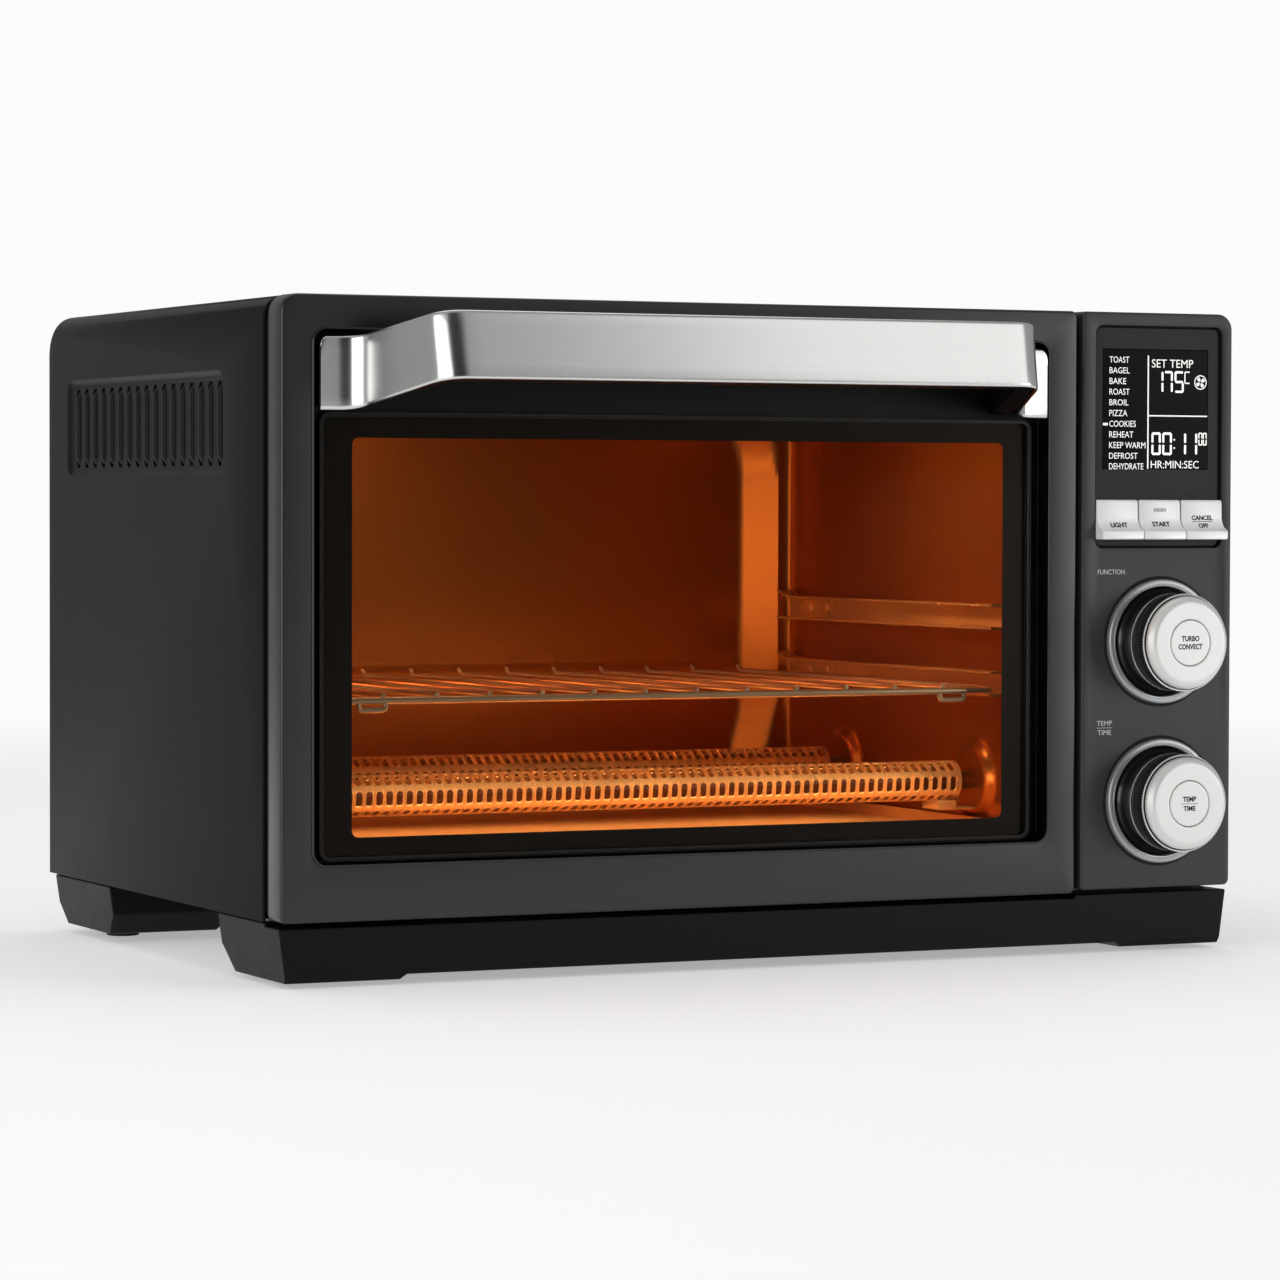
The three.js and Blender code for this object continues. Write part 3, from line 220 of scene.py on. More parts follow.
def smoothstep(t):
    t = clamp(t)
    return t * t * (3 - 2 * t)


def make(name, part, sharp=32):
    points, faces = part
    mesh = bpy.data.meshes.new(name)
    mesh.from_pydata([place(p) for p in points], [], faces)
    obj = bpy.data.objects.new(name, mesh)
    scene.collection.objects.link(obj)
    tidy_mesh(obj, sharp)
    return obj


def tidy_mesh(obj, sharp=32):
    bm = bmesh.new()
    bm.from_mesh(obj.data)
    bmesh.ops.remove_doubles(bm, verts=bm.verts, dist=2e-7)
    bmesh.ops.dissolve_degenerate(bm, dist=1e-7, edges=bm.edges)
    bmesh.ops.recalc_face_normals(bm, faces=bm.faces)
    bm.to_mesh(obj.data)
    bm.free()
    obj.data.shade_smooth()
    obj.data.set_sharp_from_angle(angle=math.radians(sharp))


def apply_modifier(obj, kind, **settings):
    modifier = obj.modifiers.new(kind, kind)
    for key, value in settings.items():
        setattr(modifier, key, value)
    bpy.context.view_layer.update()
    evaluated = obj.evaluated_get(bpy.context.evaluated_depsgraph_get())
    mesh = bpy.data.meshes.new_from_object(evaluated)
    obj.modifiers.clear()
    old = obj.data
    obj.data = mesh
    bpy.data.meshes.remove(old)


def carve(obj, part, sharp=32):
    """Cuts a part out of an object."""
    cutter = make("cutter", part)
    apply_modifier(obj, "BOOLEAN", operation="DIFFERENCE", solver="EXACT", object=cutter)
    bpy.data.objects.remove(cutter)
    tidy_mesh(obj, sharp)


def ease(obj, width, segments=2):
    """Rounds an object's sharp edges."""
    apply_modifier(
        obj, "BEVEL", width=width * MM, segments=segments, limit_method="ANGLE",
        angle_limit=math.radians(40), use_clamp_overlap=True, harden_normals=False,
    )
    tidy_mesh(obj)


def join(objects, name):
    """One object from several; looks are given afterwards."""
    bm = bmesh.new()
    for obj in objects:
        bm.from_mesh(obj.data)
    mesh = bpy.data.meshes.new(name)
    bm.to_mesh(mesh)
    bm.free()
    for obj in objects:
        bpy.data.objects.remove(obj)
    out = bpy.data.objects.new(name, mesh)
    scene.collection.objects.link(out)
    out.data.shade_smooth()
    out.data.set_sharp_from_angle(angle=math.radians(32))
    return out


def finish(obj, looks, body, *nodes, choose=None):
    """Gives a piece its looks, the body it rides and the CAD nodes it replaces.

    With several looks, choose(x, y, z) gives the number of the look for a face centred there, in mm.
    """
    looks = looks if isinstance(looks, tuple) else (looks,)
    obj.data.materials.clear()
    for look in looks:
        obj.data.materials.append(look.material)
    if choose:
        for face in obj.data.polygons:
            x, y, z = face.center
            face.material_index = choose((x - LEFT) / MM, (y - FRONT) / MM, z / MM)
    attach(obj, body)
    if nodes:
        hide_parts(*nodes)


def piece(name, part, look, body, *nodes, sharp=32):
    finish(make(name, part, sharp), look, body, *nodes)


def refined(node, width, look, body, segments=2):
    """A CAD node's form with its flat faces joined up and its edges eased."""
    obj = bpy.data.objects.new(node + "_form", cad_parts[node].data.copy())
    scene.collection.objects.link(obj)
    bm = bmesh.new()
    bm.from_mesh(obj.data)
    bmesh.ops.remove_doubles(bm, verts=bm.verts, dist=2e-6)
    bmesh.ops.dissolve_limit(bm, angle_limit=math.radians(1.5), verts=bm.verts, edges=bm.edges)
    bm.to_mesh(obj.data)
    bm.free()
    ease(obj, width, segments)
    apply_modifier(obj, "WEIGHTED_NORMAL", keep_sharp=True)
    finish(obj, look, body, node)


# ---- Materials -------------------------------------------------------------------------------------

def srgb(*rgb):
    return tuple((c / 255 / 12.92) if c <= 10 else ((c / 255 + 0.055) / 1.055) ** 2.4 for c in rgb) + (1,)


def grey(value):
    return srgb(value, value, value)


def add_node(tree, kind, **inputs):
    """A new node; each named input takes a value, or a link where it is given a socket."""
    node = tree.nodes.new(kind)
    for key, value in inputs.items():
        socket = node.inputs[key.replace("_", " ")]
        if isinstance(value, bpy.types.NodeSocket):
            tree.links.new(value, socket)
        else:
            socket.default_value = value
    return node


def blend(tree, share, first, second, output="Material Output"):
    """Sends a mix of two shader nodes to an output."""
    mix = add_node(tree, "ShaderNodeMixShader", Fac=share)
    tree.links.new(first.outputs[0], mix.inputs[1])
    tree.links.new(second.outputs[0], mix.inputs[2])
    tree.links.new(mix.outputs["Shader"], tree.nodes[output].inputs["Surface"])


class Look:
    """A principled material for a slot of the part, with small tools for its procedural detail."""

    def __init__(self, name, colour, roughness, metallic=0.0, specular=0.5, slot=None):
        self.slot = slot or name
        self.material = bpy.data.materials.new(name)
        self.material.use_nodes = True
        self.tree = self.material.node_tree
        self.shader = self.tree.nodes["Principled BSDF"]
        self.coords = self.node("ShaderNodeTexCoord").outputs["Object"]
        self.colour, self.rough = colour, roughness
        self.set("Base Color", colour)
        self.set("Roughness", roughness)
        self.set("Metallic", metallic)
        self.set("Specular IOR Level", specular)

    def set(self, socket, value):
        self.shader.inputs[socket].default_value = value

    def node(self, kind, **inputs):
        return add_node(self.tree, kind, **inputs)

    def noise(self, scale, detail=3.0, stretch=(1, 1, 1)):
        stretched = self.node("ShaderNodeMapping", Vector=self.coords, Scale=stretch).outputs["Vector"]
        return self.node("ShaderNodeTexNoise", Vector=stretched, Scale=scale, Detail=detail).outputs["Fac"]

    def vary(self, scale, amount, detail=4.0):
        """Mottles the colour by a share of itself."""
        ramp = self.node("ShaderNodeValToRGB", Fac=self.noise(scale, detail))
        ends = ramp.color_ramp.elements
        for end, position, factor in ((ends[0], 0.3, 1 - amount), (ends[1], 0.7, 1 + amount)):
            end.position = position
            end.color = tuple(min(c * factor, 1) for c in self.colour[:3]) + (1,)
        self.tree.links.new(ramp.outputs["Color"], self.shader.inputs["Base Color"])
        return self

    def scuff(self, scale, amount, stretch=(1, 1, 1)):
        """Varies the roughness by up to amount each way."""
        low, high = self.rough - amount, self.rough + amount
        noise = self.noise(scale, 5.0, stretch)
        limits = self.node("ShaderNodeMapRange", Value=noise, To_Min=low, To_Max=high)
        self.tree.links.new(limits.outputs["Result"], self.shader.inputs["Roughness"])
        return self

    def bump(self, scale, height, detail=3.0, stretch=(1, 1, 1), strength=0.5):
        """Raises a fine grain, height in mm."""
        noise = self.noise(scale, detail, stretch)
        grain = self.node("ShaderNodeBump", Height=noise, Strength=strength, Distance=height * MM)
        self.tree.links.new(grain.outputs["Normal"], self.shader.inputs["Normal"])
        return self

    def glow(self, colour, strength):
        self.set("Emission Color", colour)
        self.set("Emission Strength", strength)
        return self


PAINT = Look("charcoal_paint", grey(31), 0.32, specular=0.06).vary(9, 0.05).scuff(60, 0.05).bump(2600, 0.004)
FRAME_PAINT = Look("door_paint", grey(24), 0.3, specular=0.56, slot="charcoal_paint")
FRAME_PAINT.vary(9, 0.05).scuff(50, 0.05).bump(2600, 0.004)
# A near-black copy of the door paint for the window recess's floor and walls: painted shade in the recess
RECESS_SHADE = Look("recess_painted_shade", grey(4), 0.4, specular=0.16)
RECESS_SHADE.vary(9, 0.08).scuff(50, 0.05).bump(2600, 0.004)
PANEL_PAINT = Look("panel_paint", grey(52), 0.38, specular=0.33)
PANEL_PAINT.vary(12, 0.04).scuff(70, 0.05).bump(3000, 0.004)
INSET_PAINT = Look("inset_paint", grey(30), 0.4, specular=0.2).vary(12, 0.04).scuff(70, 0.05).bump(3000, 0.01)
PLASTIC = Look("black_plastic", grey(9), 0.42, specular=0.14).vary(20, 0.08).scuff(90, 0.07).bump(1400, 0.03)
RUBBER = Look("foot_rubber", grey(24), 0.85).vary(60, 0.15).bump(900, 0.08)
# Near-black look for the ring round each knob bezel and the fascia inset's walls and groove: painted shadow
# in these gaps
GAP_SHADE = Look("shadow_gap", grey(4), 0.8, slot="black_plastic").vary(60, 0.2).bump(900, 0.02)
ZINC = Look("galvanised_steel", srgb(150, 153, 156), 0.42, 0.9)
ZINC.vary(45, 0.12, 6).scuff(30, 0.12).bump(500, 0.01)
# Orange base colour on the aluminised steel liner and crumb tray: painted amber glow from the heaters
LINER_GLOW_TINT = Look("aluminised_steel", srgb(192, 118, 55), 0.31, 0.85)
LINER_GLOW_TINT.vary(6, 0.08, 5).scuff(12, 0.04).bump(25, 0.008, 2, strength=0.2)
TRAY_GLOW_TINT = Look("crumb_tray_glow_tint", srgb(250, 190, 122), 0.36, 0.3, slot="aluminised_steel")
TRAY_GLOW_TINT.vary(6, 0.06, 5).scuff(12, 0.04).bump(25, 0.008, 2, strength=0.2)
STEEL = Look("stainless_steel", srgb(214, 214, 212), 0.2, 1.0)
STEEL.vary(8, 0.03).scuff(5, 0.03, (1, 40, 400)).bump(40, 0.003, 4, (1, 60, 900), 0.3)
# An amber-tinted copy of the stainless steel: painted heater glow on the rack rails
RAIL_GLOW_TINT = Look("rail_glow_tint", srgb(250, 196, 128), 0.25, 0.55, slot="stainless_steel")
RAIL_GLOW_TINT.vary(30, 0.08).scuff(60, 0.06).bump(700, 0.004)
# An amber-tinted copy of the stainless steel: painted heater glow on the heater guards
GUARD_GLOW_TINT = Look("guard_glow_tint", srgb(244, 202, 144), 0.3, 0.6, slot="stainless_steel")
GUARD_GLOW_TINT.vary(30, 0.1).scuff(60, 0.08).bump(700, 0.01)
CHROME = Look("chromed_wire", grey(222), 0.12, 1.0).vary(40, 0.06).scuff(80, 0.05).bump(300, 0.004)
# An amber-tinted copy of the chromed wire: painted heater glow on the rack
RACK_WIRE_GLOW_TINT = Look("rack_wire_glow_tint", srgb(252, 226, 190), 0.14, 0.7, slot="chromed_wire")
RACK_WIRE_GLOW_TINT.vary(40, 0.06).scuff(80, 0.05).bump(300, 0.004)
TRIM = Look("chrome_trim", srgb(168, 170, 172), 0.3, 0.6).vary(60, 0.04).scuff(90, 0.04).bump(1200, 0.001)
SILVER = Look("silver_plastic", srgb(226, 226, 224), 0.36, 0.3)
SILVER.vary(30, 0.02).scuff(60, 0.05).bump(2200, 0.012)
KEYS = Look("silver_keys", srgb(250, 250, 248), 0.36, 0.15, slot="silver_plastic")
KEYS.vary(30, 0.02).scuff(60, 0.05).bump(2200, 0.012)
GLOSS = Look("gloss_black", grey(14), 0.14, specular=0.7).vary(30, 0.15).scuff(50, 0.05).bump(600, 0.002)
KNURL = Look("knurl_black", grey(22), 0.26, specular=0.9, slot="gloss_black")
KNURL.vary(30, 0.15).scuff(50, 0.05).bump(900, 0.006)
# Light grey on the black knob's grip tips: painted glints standing for highlights on the teeth
KNURL_GLINT = Look("knurl_painted_glints", grey(235), 0.35, 0.5, slot="gloss_black")
KNURL_GLINT.vary(60, 0.1).scuff(80, 0.05).bump(900, 0.002)
PRINT = Look("glass_print", srgb(36, 39, 43), 0.3, specular=0.45, slot="door_glass")
PRINT.vary(15, 0.06).scuff(8, 0.03).bump(20, 0.001)
EDGE = Look("ground_edge", srgb(96, 98, 98), 0.5, slot="door_glass")
EDGE.vary(60, 0.05).scuff(60, 0.05).bump(900, 0.002)
LCD_BLACK = Look("lcd_black", grey(3), 0.12, specular=0.04).vary(15, 0.2).scuff(30, 0.03).bump(300, 0.001)
CERAMIC = Look("ceramic", srgb(226, 220, 206), 0.7).vary(40, 0.05).scuff(60, 0.08).bump(700, 0.05)
BOARD = Look("circuit_board", srgb(30, 92, 52), 0.5).vary(120, 0.2).scuff(60, 0.08).bump(400, 0.03)
INK = Look("panel_ink", srgb(205, 205, 200), 0.5, slot="panel_paint").vary(200, 0.03).scuff(90, 0.05)
DARK_INK = Look("button_ink", srgb(26, 26, 28), 0.6, specular=0.2, slot="silver_plastic")
DARK_INK.vary(200, 0.05).scuff(90, 0.05)
MARKS = Look("lcd_marks", srgb(236, 236, 232), 0.5, slot="lcd_black").vary(200, 0.02)
MARKS.glow(srgb(225, 225, 222), 0.6)
HEAT = (1.0, 0.3, 0.05, 1)
QUARTZ = Look("quartz_tube", srgb(96, 46, 20), 0.3).vary(60, 0.15).scuff(40, 0.08).glow(HEAT, 0.02)
LAMP_GLASS = Look("lamp_glass", srgb(255, 214, 160), 0.3).vary(60, 0.06).glow(HEAT, 2.0)


def glass_look():
    """Clear glass that lets light straight through and reflects by its Fresnel share."""
    look = Look("door_glass", grey(255), 0)
    look.tree.nodes.remove(look.shader)
    smear = look.node("ShaderNodeTexNoise", Vector=look.coords, Scale=7)
    rough = look.node("ShaderNodeMapRange", Value=smear.outputs["Fac"], To_Min=0.01, To_Max=0.05)
    clear = look.node("ShaderNodeBsdfTransparent", Color=(0.68, 0.64, 0.6, 1))
    gloss = look.node("ShaderNodeBsdfGlossy", Roughness=rough.outputs["Result"])
    fresnel = look.node("ShaderNodeFresnel", IOR=1.05)
    blend(look.tree, fresnel.outputs["Fac"], clear, gloss)
    return look


CLEAR_GLASS = glass_look()


# ---- Lettering --------------------------------------------------------------------------------------

def lettering(text, x0, x1, z, cap, y, bold=0.0):
    """A word fitted between x0 and x1, with capitals cap high centred on z, standing on the plane y."""
    font = bpy.data.curves.new("word", "FONT")
    font.body = text
    font.resolution_u = 3
    font.offset = bold
    holder = bpy.data.objects.new("word", font)
    scene.collection.objects.link(holder)
    bpy.context.view_layer.update()
    mesh = bpy.data.meshes.new_from_object(holder.evaluated_get(bpy.context.evaluated_depsgraph_get()))
    flat = [(v.co.x, v.co.y) for v in mesh.vertices]
    front = [tuple(p.vertices) for p in mesh.polygons]
    bpy.data.objects.remove(holder)
    bpy.data.curves.remove(font)
    bpy.data.meshes.remove(mesh)
    us, vs = zip(*flat)
    u0, v0 = min(us), min(vs)
    wide, tall = (x1 - x0) / (max(us) - u0), cap / (max(vs) - v0)
    fitted = [(x0 + (u - u0) * wide, z - cap / 2 + (v - v0) * tall) for u, v in flat]
    n = len(fitted)
    back = [tuple(i + n for i in reversed(face)) for face in front]
    edges = dict.fromkeys((face[k - 1], face[k]) for face in front for k in range(len(face)))
    sides = [(b, a, a + n, b + n) for a, b in edges if (b, a) not in edges]
    return at_y(fitted, y - MARK) + at_y(fitted, y), front + back + sides


def centred(text, x, half, z, cap, y):
    """A bold word centred on x."""
    return lettering(text, x - half, x + half, z, cap, y, bold=0.035)


def mark(outline, y):
    return loft([at_y(outline, y - MARK), at_y(outline, y)])


def slab_mark(x0, z0, x1, z1, y):
    return block((x0, y - MARK, z0), (x1, y, z1))


SEGMENTS = {"0": "abcdef", "1": "bc", "5": "acdfg", "7": "abc"}


def digit(char, x0, x1, z0, z1, y, stroke):
    """A seven-segment figure."""
    mid, h = (z0 + z1) / 2, stroke / 2
    shoulder, tip = stroke * 0.12 + h, stroke * 0.12 + h * 0.4
    across = {"a": z1 - h, "g": mid, "d": z0 + h}
    down = {"f": (x0 + h, mid, z1), "b": (x1 - h, mid, z1), "e": (x0 + h, z0, mid), "c": (x1 - h, z0, mid)}
    parts = []
    for name in SEGMENTS[char]:
        v, a, b = (across[name], x0, x1) if name in across else down[name]
        bar = [(a + shoulder, v - h), (b - shoulder, v - h), (b - tip, v), (b - shoulder, v + h),
               (a + shoulder, v + h), (a + tip, v)]
        parts.append(mark(bar if name in across else [(p, q) for q, p in bar], y))
    return merge(*parts)


# ---- Camera, lights and floor ----------------------------------------------------------------------

def add_camera():
    az, p, r = (math.radians(CAMERA[angle]) for angle in ("azimuth", "pitch", "roll"))
    forward = Vector((math.sin(az) * math.cos(p), math.cos(az) * math.cos(p), -math.sin(p)))
    level = Vector((math.cos(az), -math.sin(az), 0))
    above = level.cross(forward)
    data = bpy.data.cameras.new("camera")
    data.sensor_width = 36
    data.lens = CAMERA["lens"]
    data.clip_start, data.clip_end = 0.05, 100
    camera = bpy.data.objects.new("camera", data)
    matrix = camera.matrix_world.to_3x3()
    matrix.col[0] = level * math.cos(r) + above * math.sin(r)
    matrix.col[1] = above * math.cos(r) - level * math.sin(r)
    matrix.col[2] = -forward
    camera.matrix_world = matrix.to_4x4()
    camera.location = place(CAMERA["at"])
    scene.collection.objects.link(camera)
    scene.camera = camera


def softbox(name, position, target, size, radiance, colour=(1, 1, 1), spread=180):
    """An area light given by how bright its face looks."""
    data = bpy.data.lights.new(name, "AREA")
    data.shape = "RECTANGLE"
    data.size, data.size_y = size
    data.energy = math.pi * size[0] * size[1] * radiance
    data.color = colour
    data.spread = math.radians(spread)
    light = bpy.data.objects.new(name, data)
    light.location = position
    light.rotation_euler = (Vector(target) - Vector(position)).to_track_quat("-Z", "Y").to_euler()
    scene.collection.objects.link(light)


def add_world():
    """A dim room, darker around the camera, with a pale backdrop behind everything."""
    world = bpy.data.worlds.new("studio")
    scene.world = world
    world.use_nodes = True
    tree = world.node_tree
    aim = add_node(tree, "ShaderNodeVectorMath")
    aim.operation = "DOT_PRODUCT"
    aim.inputs[1].default_value = Vector((-0.17, -0.96, 0.22)).normalized()
    tree.links.new(add_node(tree, "ShaderNodeTexCoord").outputs["Generated"], aim.inputs[0])
    shade = add_node(tree, "ShaderNodeMapRange", Value=aim.outputs["Value"],
                     From_Min=0.84, From_Max=0.97, To_Min=0.37, To_Max=0.03)
    shade.interpolation_type = "SMOOTHSTEP"
    room = tree.nodes["Background"]
    room.inputs["Color"].default_value = (1, 1, 1, 1)
    tree.links.new(shade.outputs["Result"], room.inputs["Strength"])
    paper = add_node(tree, "ShaderNodeBackground", Color=(1, 1, 1, 1), Strength=0.97)
    seen = add_node(tree, "ShaderNodeLightPath").outputs["Is Camera Ray"]
    blend(tree, seen, room, paper, "World Output")


def add_floor():
    """A pale round floor that fades out into the backdrop."""
    radii = (0, 600, 1000, 1500, 2200, 3000)
    loops = [[(WIDTH / 2 + u, 138 + v, -0.3) for u, v in ring_points(r + 1, 48)] for r in radii]
    floor = make("floor", loft(loops, caps=False))
    look = Look("floor_paper", grey(246), 0.9).vary(3, 0.01).bump(60, 0.2, strength=0.1)
    look.glow((1, 1, 1, 1), 0.38)
    distance = look.node("ShaderNodeVectorMath", Vector=look.coords)
    distance.operation = "LENGTH"
    fade = look.node("ShaderNodeMapRange", Value=distance.outputs["Value"], From_Min=0.8, From_Max=2.6)
    fade.interpolation_type = "SMOOTHSTEP"
    blend(look.tree, fade.outputs["Result"], look.shader, look.node("ShaderNodeBsdfTransparent"))
    floor.data.materials.append(look.material)


AMBER = (1.0, 0.63, 0.34)


def inside_light(name, position, target, size, radiance, spread=180):
    """An amber light in the oven, placed in mm."""
    size = [side * MM for side in size]
    softbox(name, place(position), place(target), size, radiance, AMBER, spread)


add_camera()
add_world()
add_floor()
softbox("handle_box", (1.5, -1.85, 1.15), (0.0, -0.15, 0.28), (1.26, 0.9), 0.94)
softbox("front_right", (2.05, -1.85, 0.22), (0.1, -0.1, 0.15), (1.5, 0.8), 3.5)
softbox("left", (-1.95, -1.05, 0.42), (-0.1, -0.15, 0.2), (2.0, 1.2), 2.2)
softbox("top", (0, 0.3, 1.9), (0, 0, 0), (1.8, 1.4), 0.9)
inside_light("lamp_left", (30, 96, 175), (345, 235, 172), (70, 150), 1.55, 80)
inside_light("lamp_front", (230, 60, 278), (377, 60, 215), (60, 50), 15.0, 70)
inside_light("lamp_rear", (60, 205, 275), (90, 262, 235), (70, 16), 75.0, 120)
inside_light("lamp_strip", (190, 22, 262), (190, 70, 70), (310, 8), 7.0, 50)
inside_light("glow_front", (200, 22, 84), (200, 52, 62), (310, 8), 20.0)
inside_light("glow_low", (200, 120, 104), (200, 116, 57), (310, 50), 3.2, 100)


# ---- Housing ---------------------------------------------------------------------------------------

def louvre_field(inset=0):
    f = LOUVRE
    return rounded(f["y0"] + inset, f["z0"] + inset, f["y1"] - inset, f["z1"] - inset, f["corner"] - inset)


def build_wrapper():
    w = WRAP
    n = 10
    rear_start = w["back"] - w["rear"]

    def section(y, top, pull=0.0):
        """The bent sheet's outline: up the right side, over and down the left, then back inside."""
        low, sheet, r = w["bottom"], w["sheet"], w["corner"]
        outer = rounded(pull, low, WIDTH - pull, top - pull, [0.01, 0.01, r, r], n)
        inner = rounded(sheet, low, WIDTH - sheet, top - sheet, [0.01, 0.01, r - sheet, r - sheet], n)
        over, under = (line[n + 1:] + line[:1] for line in (outer, inner))
        return at_y(over + under[::-1], y)

    loops = [section(w["front"] + step, HEIGHT, pull) for step, pull in ((0, 0.45), (0.12, 0.15), (0.45, 0))]
    loops.append(section(rear_start, HEIGHT))
    for k in range(1, 9):
        t = math.radians(90 * k / 8)
        loops.append(section(rear_start + w["rear"] * math.sin(t), HEIGHT - w["rear"] * (1 - math.cos(t))))
    shell = make("wrapper_form", loft(loops))
    for x0, x1 in ((-2, 4), (WIDTH - 4, WIDTH + 2)):
        carve(shell, loft([at_x(louvre_field(), x0), at_x(louvre_field(), x1)]))
    body = join([shell, louvre_dish(0, 1), louvre_dish(WIDTH, -1)], "wrapper_form")
    finish(body, PAINT, "body", "outer_wrapper")


def louvre_dish(outer_x, inward):
    """The shallow pressing in a side, with its slots and the rib in each slot."""
    deep = LOUVRE["depth"]
    steps = [(0.0, 0.0), (0.35, 0.1), (1.0, 0.6), (2.0, deep - 0.25), (3.0, deep)]

    def loop(inset, depth):
        return at_x(louvre_field(inset), outer_x + inward * depth)

    front = [loop(inset, depth) for inset, depth in steps]
    back = [loop(inset, depth + WRAP["sheet"]) for inset, depth in reversed(steps)]
    dish = make("dish", loft(back + front))
    slots, ribs = [], []
    for k in range(SLOT["count"]):
        y = SLOT["first"] + k * SLOT["pitch"]
        hole = rounded(y - SLOT["half"], SLOT["z0"] - 2, y + SLOT["half"], SLOT["z1"] + 2.5, 3.0)
        slots.append(loft([at_x(hole, outer_x - inward), at_x(hole, outer_x + inward * 5)]))
        ribs.append(louvre_rib(y, outer_x + inward * deep, inward))
    carve(dish, merge(*slots))
    return join([dish, make("ribs", merge(*ribs), 50)], "dish")


def louvre_rib(y, floor, inward):
    """The pressed rib that stands in a slot, sinking away at its ends."""
    loops = []
    z0, z1 = SLOT["z0"] - 2.5, SLOT["z1"] + 3.0
    for t in (0.0, 0.04, 0.08, 0.13, 0.2, 0.35, 0.5, 0.65, 0.8, 0.86, 0.91, 0.96, 1.0):
        share = min(1.0, 7 * min(t, 1 - t))
        sink = 2.6 * (1 - smoothstep(share))
        half = 2.35 * (0.55 + 0.45 * share)
        angles = [math.radians(22.5 * k) for k in range(9)]
        section = [(y - half * math.cos(a), 1.15 * math.sin(a) - sink) for a in angles]
        section += [(y + half, -2.2 - sink), (y - half, -2.2 - sink)]
        loops.append([(floor - inward * out, along, z0 + (z1 - z0) * t) for along, out in section])
    return loft(loops)


def build_housing():
    build_wrapper()
    refined("rear_panel", 0.3, PAINT, "body")
    refined("bottom_plate", 0.3, ZINC, "body")
    for name in ("front_plinth", "rear_plinth"):
        refined(name, 0.9, PLASTIC, "body", 3)
    for name in ("rear_spacer_left", "rear_spacer_right"):
        refined(name, 0.8, PLASTIC, "body", 3)
    refined("cord_gland", 0.4, PLASTIC, "body")
    for row in ("front", "rear"):
        for column in ("left", "right"):
            refined(f"foot_pad_{row}_{column}", 0.8, RUBBER, "body", 3)
    refined("front_bulkhead", 0.4, PAINT, "body")


# ---- Door ------------------------------------------------------------------------------------------

def arc_steps(radius, count=5):
    """Quarter-round steps as (how far in, how deep) pairs, from the side face to the front face."""
    out = []
    for k in range(count + 1):
        t = math.radians(90 * k / count)
        out.append((radius * (1 - math.cos(t)), radius * (1 - math.sin(t))))
    return out


def build_door_frame():
    n = 8
    back, deep = DOOR["depth"], RECESS["depth"]
    lip, rebate = 0.9, 13.1

    def outer(inset, y):
        return at_y(inset_rect(DOOR, inset, [max(r - inset, 0.6) for r in (3, 3, 3, 8)], n), y)

    def recess(inset, y):
        return at_y(inset_rect(RECESS, inset, max(RECESS["corner"] - inset, 0.5), n), y)

    def window(inset, y):
        return at_y(inset_rect(WINDOW, inset, WINDOW["corner"], n), y)

    loops = [outer(0.5, back), outer(0.15, back - 0.15), outer(0, back - 0.5)]
    loops += [outer(inset, y) for inset, y in arc_steps(1.5)]
    loops += [recess(inset - lip, y) for inset, y in arc_steps(lip, 4)]
    loops += [recess(0, deep - 0.3), recess(0.3, deep), window(-0.3, deep), window(0, deep + 0.3)]
    loops += [window(0, rebate), window(-6, rebate)]
    shape = make("door_frame_form", loft(loops, close=True))
    for mirror in (False, True):
        for lo, hi in HINGE_NOTCHES:
            x0, x1 = (DOOR["x1"] - hi[0], DOOR["x1"] - lo[0]) if mirror else (lo[0], hi[0])
            carve(shape, block((x0, *lo[1:]), (x1, *hi[1:])))

    # Faces of the window recess take the second, near-black look: painted shade in the recess
    def choose(x, y, z):
        across = RECESS["x0"] - 0.1 < x < RECESS["x1"] + 0.1
        upright = RECESS["z0"] - 0.1 < z < RECESS["z1"] + 0.1
        return 1 if across and upright and 0.8 < y < 13.5 else 0

    finish(shape, (FRAME_PAINT, RECESS_SHADE), "door", "door_frame", choose=choose)


def build_door_glass():
    """The pane, its printed border, its ground edge and the dark print inside that edge."""
    front, back = GLASS["front"], GLASS["back"]
    printed = back - 0.4
    edge = 0.6

    def loop(inset, y, area=GLASS):
        return at_y(inset_rect(area, inset, max(area["corner"] - inset, 0.4), 8), y)

    def band(name, look, loops):
        piece(name, loft(loops, close=True), look, "door")

    loops = [loop(edge, printed - 0.05), loop(0, printed - 0.05 - edge)]
    loops += [loop(inset, front + y) for inset, y in arc_steps(edge, 3)]
    piece("door_glass_pane", loft(loops), CLEAR_GLASS, "door", "door_glass")
    band("door_glass_border", PRINT,
         [loop(0.2, printed), loop(0.2, back), loop(0, back, CLEAR), loop(0, printed, CLEAR)])
    band("door_glass_ground_edge", EDGE,
         [loop(0.02, front + 0.75), loop(0.55, front + 0.1), loop(0.6, front + 0.9), loop(0.1, front + 1.6)])
    corners = ((0.62, front + 0.75), (0.62, printed - 0.02), (2, printed - 0.02), (2, front + 0.75))
    band("door_edge_print", PRINT, [loop(inset, y) for inset, y in corners])


